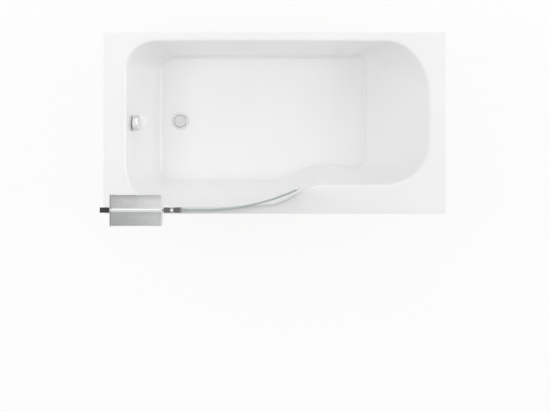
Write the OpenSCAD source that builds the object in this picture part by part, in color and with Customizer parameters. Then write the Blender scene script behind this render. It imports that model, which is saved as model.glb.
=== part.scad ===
// Shower bath with a p shaped basin and a hinged, curved glass screen.
// Drain end on the left, room side at the front. Origin: centre of the footprint, on the floor.
// The sub-parts are drawn from the bath's front left corner, and place() moves that corner.

/* [Bath] */
// Overall length
bath_l = 1700; // [1690:5:1740]
// Width of the bath itself
bath_w = 900; // [895:5:930]
// Height of the rim above the floor
rim_h = 580; // [575:5:600]
// Depth of the basin below the rim
basin_d = 405; // [400:5:410]
// Thickness of the acrylic
shell_t = 5.5; // [5:0.5:6]
// Height of the turned-down edge
skirt_h = 40; // [36:1:44]
// Fall of the basin floor towards the drain
floor_fall = 6; // [5:1:7]

/* [Rim and basin outline] */
// Width of the rim at the drain end
land_left = 112; // [108:1:116]
// Width of the rim at the backrest end
land_right = 82; // [78:1:86]
// Width of the rim along the wall
land_back = 42.5; // [42:0.5:46]
// Width of the rim at the front of the wide zone
land_front = 41.5; // [41:0.5:45]
// Width of the rim at the front of the narrow zone
land_ledge = 143; // [136:1:150]
// Distance from the drain end to the start of the S bend
bend_from = 820; // [810:5:830]
// Distance from the drain end to the end of the S bend
bend_to = 1085; // [1075:5:1095]
// Run of the sloping backrest
backrest_run = 403; // [390:1:415]

/* [Waste] */
// Distance of the drain from the drain end
drain_x = 378; // [374:1:382]
// Distance of the drain from the front edge
drain_y = 462; // [455:1:465]
// Depth of the overflow centre below the rim
overflow_d = 72; // [70:1:78]

/* [Screen] */
// Height of the screen above the rim
screen_h = 1500; // [1450:10:1550]
// Distance of the pivot from the wall
pivot_x = 350; // [345:1:360]
// Length from the pivot to the free edge, along the curve
swing_l = 620; // [600:5:630]
// Radius of the curved part of the swing glass
curve_r = 1100; // [1050:10:1300]
// Distance from the wall at which the curve starts
curve_from = 500; // [490:5:510]
// Distance of the glass from the front edge of the bath
glass_y = 18; // [18:1:20]

/* [Storage rack] */
// Height of the rack plates above the top of the glass
rack_rise = 65; // [60:1:70]
// Reach of the plates on the room side of the glass
rack_out = 80; // [76:1:84]
// Reach of the plates on the bath side of the glass
rack_in = 78; // [74:1:82]
// Full height of the room side of the plates
rack_outer_h = 505; // [490:5:520]
// Full height of the bath side of the plates
rack_inner_h = 315; // [305:5:325]

/* [Feet] */
// Distance of the left leg rail from the drain end
leg_left = 470; // [465:1:480]
// Distance of the right leg rail from the drain end
leg_right = 1160; // [1150:1:1165]
// Radius of a foot's pad
pad_r = 25; // [22:1:27]

/* [Hidden] */
$fn = 64;
fine = 720;
gap = 0.2;
slip = 0.06;
over = 1;

// levels of the bath, from the basin down
floor_z = rim_h - basin_d;
drain_z = floor_z - floor_fall;
under_z = drain_z - shell_t;
board_t = 15;
board_z = under_z - board_t;
rail_h = 20;
rail_w = 40;
rail_z = board_z - rail_h;
sheet = 2;

// steps along the outlines
corner_steps = 9;
bend_steps = 11;
side_steps = 4;
back_steps = 8;
foot_steps = 6;

// shape of the basin
floor_in_left = 181;
floor_in_back = 86;
floor_in_front = 136;
floor_in_ledge = 109;
floor_bend_shift = 5;
roll = 13;
edge = 2;
knee_run = 0.76;
knee_drop = 0.87;
kick_run = 311;
kick_drop = 0.85;
kick_pull = [0.16, 0.985];
back_from = 1250;
back_to = 1600;
wall_t = shell_t + 0.5;
rim_corners = [[157, 215], [224, 213], [214, 287], [157, 137]];
knee_corners = [[83, 97], [60, 60], [45, 45], [83, 78]];
floor_corners = [[60, 60], [60, 60], [45, 45], [60, 60]];
edge_corner = 12;

// drain, from the recess in the floor down to the trap
recess_r = 42;
recess_d = 4;
boss_r = 56;
boss_t = 3;
washer = 1.2;
gasket = 3;
flange_r = 38;
flange_t = 3;
plug_r = 32.6;
stem_r = 4;
tail_r = 25.5;
hub_r = 8;
hub_h = 10;
seat_z = drain_z - recess_d;
flange_z = seat_z + washer;
hub_z = seat_z - 14;
body_top = under_z - boss_t - gasket;
body_h = 46;
body_r = 33;
body_z = body_top - body_h;
inlet_z = body_z + body_h / 2;
waste_r = 20;
waste_t = 3;
trap_bend = 32;
trap_top = body_z - 10;
tail_z = trap_top - 18;
trap_z = trap_top - 40;
socket_r = 25;
socket_fit = waste_r + 0.3;
outlet_y = drain_y + 3 * trap_bend;
outlet_z = trap_z + 10 + trap_bend;
outlet_end = outlet_y + 54;
nut_out = 31;

// overflow, along the normal of the sloping end wall
tilt = atan(knee_run * floor_in_left / (knee_drop * basin_d));
overflow_y = bath_w / 2;
overflow_at = [land_left + overflow_d * tan(tilt), overflow_y, rim_h - overflow_d];
overflow_back = 8.15;
cup_r = 36;
cup_mid = 28;
cup_end = 46;
spindle_r = 6;
face_r = 40;
face_t = 8;
knob_r = 38;
knob_from = 12;
knob_to = 42;
pipe_r = 16;
pipe_t = 2.5;
pipe_bend = 40;
pipe_x = overflow_at[0] - cup_mid * cos(tilt);
spigot_z = overflow_at[2] - cup_mid * sin(tilt) - cup_r;
spigot_h = 34;

// the pipe's level leg, seen from above, heads from the overflow to the drain
run_l = norm([drain_x - pipe_x, drain_y - overflow_y]);
run_turn = atan((drain_y - overflow_y) / (drain_x - pipe_x));

// control cable, a route from the overflow down to the waste body
cable_r = 2.5;
cable_side = 26;
cable_sides = 8;
cable_y = overflow_y + cable_side;
cable_start = [pipe_x, cable_y, spigot_z - 2];
cable_end = [drain_x - 40, drain_y + cable_side, inlet_z];
cable_route = [
    cable_start, [pipe_x, cable_y, 420], [pipe_x, cable_y + 2, 330], [pipe_x, cable_y + 4, 240],
    [pipe_x + 6, cable_y + 5, 180], [pipe_x + 26, cable_y + 6, 146],
    [pipe_x + 62, cable_y + 8, inlet_z + 1], [pipe_x + 120, cable_y + 10, inlet_z],
    [cable_end[0] - 50, cable_end[1], inlet_z], cable_end
];
cable_steps = 6;

// screen
glass_t = 6;
slot = glass_t / 2 + 0.1;
glass_top = rim_h + screen_h;
profile_d = 44;
profile_w = 13;
adjust_from = 12;
adjust_w = profile_w - sheet - gap;
glass_from = 20;
wall_hole_r = 2.75;
wall_holes = [screen_h - 200, 440];
profile_screw_z = [rim_h + 80, rim_h + screen_h / 2, glass_top - 80];
profile_screw_x = 24;
post_r = 7;
post_w = 6;
post_from = pivot_x - 22;
fixed_end = pivot_x - 12;
swing_from = pivot_x + 15;
foot_rail_x = pivot_x - 19;
foot_rail_z = rim_h + 2;
foot_rail_h = 45;
fixed_z = rim_h + 32;
hinge_gap = 14;
hinge_w = 28;
hinge_half = 13;
hinge_h = 68;
hinge_z = glass_top - 30;
ear_h = 10;
ear_r = 12;
barrel_r = 11.5;
arm_half = 8;
pin_r = 5;
low_z = rim_h + 4;
low_barrel_h = 18;
low_clamp_h = 38;
swing_z = rim_h + 23;
strip_from = pivot_x + hinge_gap + hinge_w + 2;
strip_wide_from = pivot_x + 450;
swing_end = pivot_x + swing_l;
deflector_l = 22;
deflector_h = 210;

// storage rack
rack_top = glass_top + rack_rise;
rack_t = 3;
rack_left = profile_d + 4;
rack_right = pivot_x - 50;
rack_round = 25;
rack_mid = rack_top - rack_inner_h;
rack_low = rack_top - rack_outer_h;
tray_h = 52;
tray_t = 3;
tray_x = rack_left + rack_t + gap;
tray_l = rack_right - gap - tray_x;
tray_out = [glass_y - rack_out + 2, glass_y - 7];
tray_in = [glass_y + 7, glass_y + rack_in - 2];
upper_tray_z = rack_mid + 2;
lower_tray_z = rack_low + 2;
rod_r = 8;
rod_z = glass_top + 42;
screw_r = 2;
head_r = 3.5;
rack_screw_at = [
    [glass_y, rod_z], [(tray_out[0] + tray_out[1]) / 2, upper_tray_z + tray_h / 2],
    [(tray_in[0] + tray_in[1]) / 2, upper_tray_z + tray_h / 2],
    [(tray_out[0] + tray_out[1]) / 2, lower_tray_z + tray_h / 2]
];

// frame
leg_y = [84, 833];
rail_y = [58, 856];
foot_r = 6;
foot_low = 14;
foot_top = rail_z + 64;
nut_r = 11;
nut_h = 9;
batten_w = 21;
batten_h = 18;
batten_z = rim_h - shell_t - batten_h;
batten_in = shell_t + 0.5;
rail_screw_y = [280, 440, 680];
clip_x = [300, 1400];
clip_w = 40;
clip_hole_r = 3.2;
clip_low = rim_h - skirt_h - 45;

// moves the front left corner of the bath so that the origin is the footprint's centre
module place() translate([-bath_l / 2, -(bath_w + glass_y - rack_out) / 2, 0]) children();

// ---- outlines of the shell, as closed rings of points seen from above ----

function mix(a, b, t) = a + (b - a) * t;
function clamp01(t) = min(1, max(0, t));
function ease(t) = t * t * (3 - 2 * t);

function corner(cx, cy, r, from) = [
    for (i = [0:corner_steps])
        let (a = from + 90 * i / corner_steps) [cx + r[0] * cos(a), cy + r[1] * sin(a)]
];

function between(a, b, steps) = [for (i = [1:steps - 1]) mix(a, b, i / steps)];

// box is [left, front of the wide zone, right, back], ledge the front of the narrow zone
function outline(box, ledge, bend, r) = let (
    left_front = corner(box[0] + r[0][0], box[1] + r[0][1], r[0], 180),
    s_bend = [
        for (i = [0:bend_steps])
            let (t = i / bend_steps) [mix(bend[0], bend[1], t), mix(box[1], ledge, ease(t))]
    ],
    right_front = corner(box[2] - r[1][0], ledge + r[1][1], r[1], 270),
    right_back = corner(box[2] - r[2][0], box[3] - r[2][1], r[2], 0),
    left_back = corner(box[0] + r[3][0], box[3] - r[3][1], r[3], 90)
) concat(
    left_front, between(left_front[corner_steps], s_bend[0], side_steps),
    s_bend, between(s_bend[bend_steps], right_front[0], side_steps),
    right_front, between(right_front[corner_steps], right_back[0], side_steps),
    right_back, between(right_back[corner_steps], left_back[0], back_steps),
    left_back, between(left_back[corner_steps], left_front[0], side_steps)
);

function edge_outline(inset) = outline(
    [inset, inset, bath_l - inset, bath_w - inset], inset, [bend_from, bend_to],
    [for (i = [0:3]) [edge_corner - inset, edge_corner - inset]]
);

function rim_outline(grow) = outline(
    [land_left - grow, land_front - grow, bath_l - land_right + grow, bath_w - land_back + grow],
    land_ledge - grow, [bend_from, bend_to], [for (r = rim_corners) [r[0] + grow, r[1] + grow]]
);

// an outline part of the way in from the rim to the floor
function inner_outline(share, right, corners, grow) = outline(
    [
        land_left + floor_in_left * share - grow, land_front + floor_in_front * share - grow,
        bath_l - land_right - right + grow, bath_w - land_back - floor_in_back * share + grow
    ],
    land_ledge + floor_in_ledge * share - grow,
    [bend_from + floor_bend_shift * share, bend_to + floor_bend_shift * share],
    [for (r = corners) [r[0] + grow, r[1] + grow]]
);

function knee_outline(grow) = inner_outline(knee_run, kick_run, knee_corners, grow);

function floor_outline(grow) = inner_outline(1, backrest_run, floor_corners, grow);

// a wall is [rim, knee, foot, top, depth]; it falls straight to its knee, then rounds into the floor,
// and the backrest's knee is an edge over a steeper foot
function wall(grow, top, depth) =
    [rim_outline(grow), knee_outline(grow), floor_outline(grow), top, depth];

function wall_point(r, k, f, u) = let (
    back = ease(clamp01((r[0] - back_from) / (back_to - back_from))),
    drop = mix(knee_drop, kick_drop, back),
    pull = mix(r + (k - r) / knee_drop, mix(k, f, kick_pull[0]), back),
    t = 2 * u - 1,
    b = 2 * t * (1 - t)
) u < 0.5
    ? [each mix(r, k, 2 * u), drop * 2 * u]
    : [
        each (1 - t) * (1 - t) * k + b * pull + t * t * f,
        (1 - t) * (1 - t) * drop + b * mix(1, kick_pull[1], back) + t * t
    ];

function wall_ring(w, u) = [
    for (i = [0:len(w[0]) - 1])
        let (p = wall_point(w[0][i], w[1][i], w[2][i], u)) [p[0], p[1], w[3] - w[4] * p[2]]
];

function level(ring, z) = [for (p = ring) [p[0], p[1], z]];

// floor rings close in on a flat disc round the drain
function floor_ring(foot, t) = [
    for (p = foot)
        let (
            d = p - [drain_x, drain_y],
            target = [drain_x, drain_y] + d * (boss_r + 4) / norm(d),
            q = mix(p, target, t)
        ) [q[0], q[1], mix(floor_z, drain_z, ease(t))]
];

roll_u = roll / basin_d / knee_drop / 2;
wall_steps = [roll_u, 0.25, 0.5, for (i = [1:foot_steps - 1]) 0.5 + 0.5 * i / foot_steps];

function shell_rings() = let (
    foot = floor_outline(0),
    skirt_z = rim_h - skirt_h,
    below_top = rim_h - shell_t,
    inside = wall(0, rim_h, basin_d),
    outside = wall(wall_t, below_top, below_top - under_z)
) [
    level(floor_outline(wall_t), under_z),
    for (i = [len(wall_steps) - 1:-1:0]) wall_ring(outside, wall_steps[i]),
    level(rim_outline(wall_t + roll / 2), below_top),
    level(edge_outline(shell_t), below_top),
    level(edge_outline(shell_t), skirt_z),
    level(edge_outline(0), skirt_z),
    level(edge_outline(0), rim_h - edge),
    level(edge_outline(edge), rim_h),
    level(rim_outline(roll), rim_h),
    level(rim_outline(roll * 0.3), rim_h - roll * 0.25),
    for (u = wall_steps) wall_ring(inside, u),
    level(foot, floor_z),
    floor_ring(foot, 0.35),
    floor_ring(foot, 0.7),
    floor_ring(foot, 1)
];

// a closed skin through rings of equal length, with a flat cap on the first and the last
module skin(rings) {
    n = len(rings[0]);
    last = (len(rings) - 1) * n;
    points = [for (ring = rings) each ring];
    sides = [
        for (k = [0:len(rings) - 2], i = [0:n - 1])
            let (a = k * n + i, b = k * n + (i + 1) % n)
                each [[a, a + n, b], [b, a + n, b + n]]
    ];
    caps = [[for (i = [0:n - 1]) i], [for (i = [n - 1:-1:0]) last + i]];
    polyhedron(points = points, faces = concat(sides, caps), convexity = 8);
}

// ---- repeated shapes ----

module ring(outer, inner, h) difference() {
    cylinder(r = outer, h = h);
    translate([0, 0, -over]) cylinder(r = inner, h = h + 2 * over);
}

module block(low, high) translate(low) cube(high - low);

module at_drain(z) translate([drain_x, drain_y, z]) children();

module at_run() translate([pipe_x, overflow_y, 0]) rotate([0, 0, run_turn]) children();

module at_overflow() translate(overflow_at) rotate([0, 90 - tilt, 0]) children();

module at_pivot(z) translate([pivot_x, glass_y, z]) children();

module along_x(x, y, z) translate([x, y, z]) rotate([0, 90, 0]) children();

module along_y(x, y, z) translate([x, y, z]) rotate([-90, 0, 0]) children();

// a wall of given thickness that follows the line of the screen, between two distances along it
module along_screen(from, to, thick, z, h) {
    curved = max(from, curve_from);
    if (from < curve_from)
        block([from, glass_y - thick / 2, z], [min(to, curve_from), glass_y + thick / 2, z + h]);
    if (to > curve_from)
        translate([curve_from, glass_y + curve_r, z])
            rotate([0, 0, (curved - curve_from) / curve_r * 180 / PI - 90])
                rotate_extrude(angle = (to - curved) / curve_r * 180 / PI, $fn = fine)
                    translate([curve_r - thick / 2, 0]) square([thick, h]);
}

// ---- shell and its frame ----

module bath_shell() color("white") place() difference() {
    union() {
        skin(shell_rings());
        at_drain(under_z - boss_t) cylinder(r = boss_r, h = boss_t + over);
    }
    at_drain(seat_z) cylinder(r = recess_r, h = recess_d + floor_fall + over);
    at_drain(body_z) cylinder(r = tail_r + 1.5, h = body_h + 40);
    at_overflow() translate([0, 0, -30]) cylinder(r = cup_r - 7, h = 60);
}

module base_board() color("tan") place() difference() {
    translate([0, 0, board_z]) linear_extrude(board_t) polygon([
        [320, 190], [840, 190], [1070, 264], [1195, 264], [1195, 752], [320, 752]
    ]);
    block([300, drain_y - 66, board_z - over], [drain_x + 66, drain_y + 66, under_z + over]);
    frame_screw_holes();
}

module batten(low, length, wide) color("burlywood") place()
    block([low[0], low[1], batten_z], [low[0] + length, low[1] + wide, batten_z + batten_h]);

module front_batten() batten([60, batten_in], bath_l - 120, batten_w);

module back_batten() color("burlywood") place() difference() {
    block(
        [60, bath_w - batten_in - batten_w, batten_z],
        [bath_l - 60, bath_w - batten_in, batten_z + batten_h]
    );
    for (x = clip_x) translate([x, bath_w - 18, batten_z - over]) cylinder(r = screw_r, h = 14);
}

module end_battens() {
    batten([batten_in, 60], batten_w, bath_w - 120);
    batten([bath_l - batten_in - batten_w, 60], batten_w, bath_w - 120);
}

module leg_rail(x) color("silver") place() difference() {
    block([x - rail_w / 2, rail_y[0], rail_z], [x + rail_w / 2, rail_y[1], board_z]);
    block(
        [x - rail_w / 2 + sheet, rail_y[0] - over, rail_z - over],
        [x + rail_w / 2 - sheet, rail_y[1] + over, board_z - sheet]
    );
    for (y = leg_y) translate([x, y, rail_z]) cylinder(r = foot_r + slip, h = rail_h + over);
    frame_screw_holes();
}

module frame_screw_places() for (x = [leg_left, leg_right], y = rail_screw_y)
    translate([x, y, board_z - sheet]) children();

module frame_screw_holes() frame_screw_places() translate([0, 0, -over])
    cylinder(r = screw_r, h = 14 + over);

module frame_screws() color("dimgray") place() {
    frame_screw_places() {
        cylinder(r = screw_r, h = 12);
        translate([0, 0, -2]) cylinder(r = 2 * screw_r, h = 2);
    }
    for (x = clip_x) translate([x, bath_w - 18, batten_z - 2.5]) {
        cylinder(r = screw_r, h = 14);
        translate([0, 0, -2]) cylinder(r = 2 * screw_r, h = 2);
    }
}

module lock_nuts() color("gray") place()
    for (x = [leg_left, leg_right], y = leg_y, z = [rail_z - nut_h - sheet, board_z])
        translate([x, y, z]) difference() {
            cylinder(r = nut_r, h = nut_h, $fn = 6);
            translate([0, 0, -over]) cylinder(r = foot_r + slip, h = nut_h + 2 * over);
        }

module foot_rod(x, y) color("silver") place()
    translate([x, y, foot_low]) cylinder(r = foot_r, h = foot_top - foot_low);

module foot_pad(x, y) color("dimgray") place() translate([x, y, 0]) difference() {
    union() {
        cylinder(r = pad_r, h = 7);
        cylinder(r = pad_r / 2, h = 2 * foot_low);
    }
    translate([0, 0, foot_low]) cylinder(r = foot_r, h = 2 * foot_low);
}

// a folded steel clip under the back batten, with a wall hole below the turned-down edge
module wall_clips() color("silver") place() for (x = clip_x) difference() {
    union() {
        block([x - clip_w / 2, bath_w - 29, batten_z - 2.5], [x + clip_w / 2, bath_w - 9, batten_z]);
        block(
            [x - clip_w / 2, bath_w - 11.5, rim_h - skirt_h - 3],
            [x + clip_w / 2, bath_w - 9, batten_z]
        );
        block(
            [x - clip_w / 2, bath_w - 11.5, rim_h - skirt_h - 3],
            [x + clip_w / 2, bath_w, rim_h - skirt_h - 0.5]
        );
        block([x - clip_w / 2, bath_w - 2.5, clip_low], [x + clip_w / 2, bath_w, rim_h - skirt_h - 0.5]);
    }
    translate([x, bath_w - 18, batten_z - 4]) cylinder(r = screw_r, h = 6);
    along_y(x, bath_w - 4, clip_low + 20) cylinder(r = clip_hole_r, h = 6);
}

// ---- waste, overflow and trap ----

module waste_flange_seal() color("dimgray") place() at_drain(seat_z)
    ring(flange_r - 1, tail_r + 1.5, washer);

module waste_flange() color("silver") place() at_drain(0) {
    difference() {
        union() {
            translate([0, 0, flange_z]) cylinder(r = flange_r, h = flange_t);
            translate([0, 0, hub_z]) cylinder(r = tail_r, h = flange_z + over - hub_z);
        }
        translate([0, 0, hub_z - over]) cylinder(r = tail_r - 3.5, h = 40);
        translate([0, 0, flange_z + 1]) cylinder(r = plug_r + gap, h = flange_t);
    }
    difference() {
        union() {
            translate([0, 0, hub_z]) cylinder(r = hub_r, h = hub_h);
            for (turn = [0, 90])
                translate([0, 0, hub_z]) rotate([0, 0, turn])
                    block([3.5 - tail_r, -2, 0], [tail_r - 3.5, 2, 6]);
        }
        translate([0, 0, hub_z - over]) cylinder(r = stem_r + slip, h = hub_h + 2 * over);
    }
}

module waste_plug() color("gainsboro") place() at_drain(0) {
    translate([0, 0, flange_z + 2.6]) cylinder(r = plug_r, h = 2.4);
    translate([0, 0, hub_z - 16]) cylinder(r = stem_r, h = flange_z + 2.6 - hub_z + 16);
}

module plug_seal() color("dimgray") place() at_drain(flange_z + 1.1)
    ring(plug_r - 1, tail_r, 1.5);

module waste_body_seal() color("dimgray") place() at_drain(body_top)
    ring(body_r, tail_r + 3, gasket);

module waste_body() color("white") place() {
    difference() {
        union() {
            at_drain(body_z) cylinder(r = body_r, h = body_h);
            at_drain(tail_z) cylinder(r = waste_r, h = body_z + over - tail_z);
            at_run() along_x(run_l - body_r - 24, 0, inlet_z) cylinder(r = pipe_r + 4, h = 40);
            along_x(cable_end[0], cable_end[1], inlet_z) cylinder(r = 5, h = 24);
        }
        at_drain(body_z + waste_t) cylinder(r = tail_r + 3, h = body_h);
        at_drain(tail_z - over) cylinder(r = waste_r - waste_t, h = body_h);
        at_run() along_x(run_l - body_r - 25, 0, inlet_z) cylinder(r = pipe_r + gap, h = 23);
        at_run() along_x(run_l - body_r - 25, 0, inlet_z) cylinder(r = pipe_r - pipe_t, h = 40);
        along_x(cable_end[0] - over, cable_end[1], inlet_z) cylinder(r = cable_r - 1, h = 12);
    }
}

// a vertical leg, a bend under it and a level leg, all of one radius
module overflow_run(r) {
    translate([0, 0, inlet_z + pipe_bend])
        cylinder(r = r, h = spigot_z - 4 - inlet_z - pipe_bend);
    translate([pipe_bend, 0, inlet_z + pipe_bend]) rotate([90, 0, 0])
        rotate([0, 0, 180]) rotate_extrude(angle = 90) translate([pipe_bend, 0]) circle(r = r);
    along_x(pipe_bend, 0, inlet_z) cylinder(r = r, h = run_l - body_r - 4 - pipe_bend);
}

module overflow_pipe() color("white") place() at_run() difference() {
    overflow_run(pipe_r);
    overflow_run(pipe_r - pipe_t);
    translate([0, 0, spigot_z - 10]) cylinder(r = pipe_r - pipe_t, h = 20);
    along_x(run_l - body_r - 10, 0, inlet_z) cylinder(r = pipe_r - pipe_t, h = 20);
}

module overflow_elbow() color("white") place() difference() {
    union() {
        at_overflow() translate([0, 0, -cup_end])
            cylinder(r = cup_r, h = cup_end - overflow_back - gasket);
        at_run() translate([0, 0, spigot_z - spigot_h + 6]) cylinder(r = pipe_r + 4, h = spigot_h);
        translate(cable_start) cylinder(r = 5, h = 26);
    }
    at_overflow() translate([0, 0, -cup_end + waste_t]) cylinder(r = cup_r - 4, h = cup_end);
    at_run() translate([0, 0, spigot_z - 40]) cylinder(r = pipe_r + gap, h = 36);
    at_run() translate([0, 0, spigot_z - 40]) cylinder(r = pipe_r - pipe_t, h = 70);
    translate([pipe_x, cable_y, cable_start[2] - over]) cylinder(r = cable_r - 1, h = 12);
}

module overflow_seal() color("dimgray") place() at_overflow()
    translate([0, 0, -overflow_back - gasket]) ring(cup_r, cup_r - 6, gasket);

module overflow_face() color("silver") place() at_overflow() difference() {
    union() {
        translate([0, 0, gap]) cylinder(r = face_r, h = face_t - gap);
        translate([0, 0, -overflow_back - gasket]) cylinder(r = cup_r - 7.5, h = overflow_back + 4);
    }
    translate([0, 0, -20]) cylinder(r = spindle_r + slip, h = 40);
    for (turn = [0:60:300]) rotate([0, 0, turn]) translate([18, 0, -20]) cylinder(r = 6, h = 40);
}

module overflow_knob() color("silver") place() at_overflow() {
    rotate_extrude() polygon([
        [0, knob_from], [knob_r - 6, knob_from], [knob_r - 1, knob_from + 2], [knob_r, knob_from + 6],
        [knob_r - 1, knob_to - 6], [knob_r - 4, knob_to - 1.5], [knob_r - 8, knob_to], [0, knob_to - 1]
    ]);
    translate([0, 0, -24]) cylinder(r = spindle_r, h = knob_from + 24 + over);
}

// points of a smooth line through the route, some steps between each two of its points
function spline(a, b, c, d, t) = 0.5 * (
    2 * b + (c - a) * t + (2 * a - 5 * b + 4 * c - d) * t * t + (3 * b - a - 3 * c + d) * t * t * t
);
function smooth_line(route, steps) = let (last = len(route) - 1) concat([
    for (i = [0:last - 1], s = [0:steps - 1])
        spline(
            route[max(0, i - 1)], route[i], route[i + 1], route[min(last, i + 2)], s / steps
        )
], [route[last]]);

module control_cable() color("black") place() {
    line = smooth_line(cable_route, cable_steps);
    last = len(line) - 1;
    skin([
        for (i = [0:last])
            let (
                d = line[min(last, i + 1)] - line[max(0, i - 1)],
                way = i == 0 ? [0, 0, -1] : i == last ? [1, 0, 0] : d / norm(d),
                side = [0, 1, 0] - way * way[1],
                a = side / norm(side),
                b = cross(way, a)
            ) [
                for (k = [0:cable_sides - 1])
                    let (turn = 360 * k / cable_sides)
                        line[i] + cable_r * (cos(turn) * a + sin(turn) * b)
            ]
    ]);
}

module trap_run(r) {
    at_drain(trap_z) cylinder(r = r, h = tail_z - trap_z - over);
    translate([drain_x, drain_y + trap_bend, trap_z]) rotate([90, 0, 90])
        rotate([0, 0, 180]) rotate_extrude(angle = 180) translate([trap_bend, 0]) circle(r = r);
    translate([drain_x, drain_y + 2 * trap_bend, trap_z]) cylinder(r = r, h = 10);
    translate([drain_x, outlet_y, trap_z + 10]) rotate([90, 0, 90])
        rotate([0, 0, 90]) rotate_extrude(angle = 90) translate([trap_bend, 0]) circle(r = r);
    along_y(drain_x, outlet_y, outlet_z) cylinder(r = r, h = 20);
}

module trap_body() color("white") place() difference() {
    union() {
        trap_run(waste_r);
        at_drain(tail_z - 6) cylinder(r = socket_r, h = trap_top - tail_z + 4);
        along_y(drain_x, outlet_y + 16, outlet_z) cylinder(r = socket_r, h = outlet_end - outlet_y - 22);
    }
    trap_run(waste_r - waste_t);
    at_drain(tail_z - 2) cylinder(r = socket_fit, h = 40);
    at_drain(trap_z + 10) cylinder(r = waste_r - waste_t, h = 30);
    along_y(drain_x, outlet_y + 10, outlet_z) cylinder(r = waste_r - waste_t, h = 20);
    along_y(drain_x, outlet_y + 20, outlet_z) cylinder(r = socket_fit, h = 60);
}

module union_nut(h, lip) difference() {
    cylinder(r = nut_out, h = h, $fn = 12);
    translate([0, 0, -over]) cylinder(r = socket_r + gap, h = h + over - lip);
    cylinder(r = socket_fit, h = h + over);
}

module trap_inlet_nut() color("white") place() at_drain(trap_top - 18) union_nut(22, 4);

module trap_outlet_nut() color("white") place()
    along_y(drain_x, outlet_end - 22, outlet_z) union_nut(22, 3);

module trap_outlet_seal() color("dimgray") place()
    along_y(drain_x, outlet_end - 6, outlet_z) ring(socket_r, socket_fit, gasket);

// ---- screen: the part fixed to the wall ----

module screw_row_y(r, h) for (z = profile_screw_z)
    along_y(profile_screw_x, glass_y + adjust_w - sheet - 1, z) cylinder(r = r, h = h);

module wall_profile() color("silver") place() difference() {
    block([0, glass_y - profile_w, rim_h], [28, glass_y + profile_w, glass_top]);
    block(
        [sheet, glass_y - profile_w + sheet, rim_h - over],
        [28 + over, glass_y + profile_w - sheet, glass_top + over]
    );
    for (spread = wall_holes, side = [-0.5, 0.5])
        along_x(-over, glass_y, rim_h + screen_h / 2 + side * spread) cylinder(r = wall_hole_r, h = 4);
    screw_row_y(screw_r, 8);
}

module adjusting_profile() color("gainsboro") place() difference() {
    block([adjust_from, glass_y - adjust_w, rim_h], [profile_d, glass_y + adjust_w, glass_top]);
    block(
        [adjust_from + sheet, glass_y - adjust_w + sheet, rim_h - over],
        [profile_d + over, glass_y + adjust_w - sheet, glass_top + over]
    );
    screw_row_y(screw_r, 8);
}

module glazing_gasket() color("dimgray") place() for (side = [-1, 1])
    block(
        [profile_d - 14, glass_y + min(side * slot, side * (adjust_w - sheet)), fixed_z],
        [profile_d, glass_y + max(side * slot, side * (adjust_w - sheet)), glass_top]
    );

module profile_cap() color("gray") place()
    block([0, glass_y - profile_w, glass_top], [profile_d, glass_y + profile_w, glass_top + 4]);

module profile_screws() color("silver") place() for (z = profile_screw_z) {
    along_y(profile_screw_x, glass_y + adjust_w - sheet, z) cylinder(r = screw_r, h = 4.5);
    along_y(profile_screw_x, glass_y + profile_w, z) cylinder(r = head_r, h = 2);
}

module fixed_glass() color("lightblue", 0.4) place()
    block(
        [glass_from, glass_y - glass_t / 2, fixed_z], [fixed_end, glass_y + glass_t / 2, glass_top]
    );

module fixed_bottom_rail() color("white") place() difference() {
    block(
        [profile_d + gap, glass_y - 10, foot_rail_z - 2],
        [foot_rail_x, glass_y + 10, foot_rail_z + foot_rail_h]
    );
    block(
        [profile_d, glass_y - slot, fixed_z], [pivot_x, glass_y + slot, foot_rail_z + foot_rail_h + over]
    );
}

module post_profile() color("darkgray") place() {
    low = low_z + ear_h + low_barrel_h + 2;
    difference() {
        union() {
            at_pivot(low) cylinder(r = post_r, h = hinge_z - over - low);
            block(
                [fixed_end, glass_y - post_w, low + 20],
                [pivot_x - post_r + 1, glass_y + post_w, hinge_z - over]
            );
            block(
                [post_from, glass_y - post_w, low + 20],
                [fixed_end + over, glass_y + post_w, hinge_z - over]
            );
        }
        block([post_from - over, glass_y - slot, low], [fixed_end + gap, glass_y + slot, glass_top]);
    }
}

module top_hinge_fixed() color("black") place() difference() {
    union() {
        block(
            [pivot_x - hinge_gap - hinge_w + 3, glass_y - hinge_half, hinge_z],
            [pivot_x - hinge_gap, glass_y + hinge_half, hinge_z + hinge_h]
        );
        for (z = [hinge_z, hinge_z + hinge_h - ear_h]) {
            at_pivot(z) cylinder(r = ear_r, h = ear_h);
            block([pivot_x - hinge_gap - over, glass_y - ear_r, z], [pivot_x, glass_y + ear_r, z + ear_h]);
        }
    }
    at_pivot(hinge_z - over) cylinder(r = pin_r, h = hinge_h + 2 * over);
    block(
        [pivot_x - 60, glass_y - slot, hinge_z - over], [fixed_end + gap, glass_y + slot, glass_top + gap]
    );
}

module top_hinge_pin() color("silver") place() at_pivot(hinge_z - 0.5) {
    cylinder(r = pin_r, h = hinge_h + 2);
    translate([0, 0, hinge_h + 0.5]) cylinder(r = pin_r + 3, h = 2);
}

// a barrel round the pivot with an arm and a clamp for the swing glass
module swing_clamp(barrel_z, barrel_h, z, h) difference() {
    union() {
        at_pivot(barrel_z) cylinder(r = barrel_r, h = barrel_h);
        block(
            [pivot_x, glass_y - arm_half, barrel_z],
            [pivot_x + hinge_gap + over, glass_y + arm_half, barrel_z + barrel_h]
        );
        block(
            [pivot_x + hinge_gap, glass_y - hinge_half, z],
            [pivot_x + hinge_gap + hinge_w, glass_y + hinge_half, z + h]
        );
    }
    at_pivot(barrel_z - over) cylinder(r = pin_r + slip, h = barrel_h + 2 * over);
    children();
}

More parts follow.
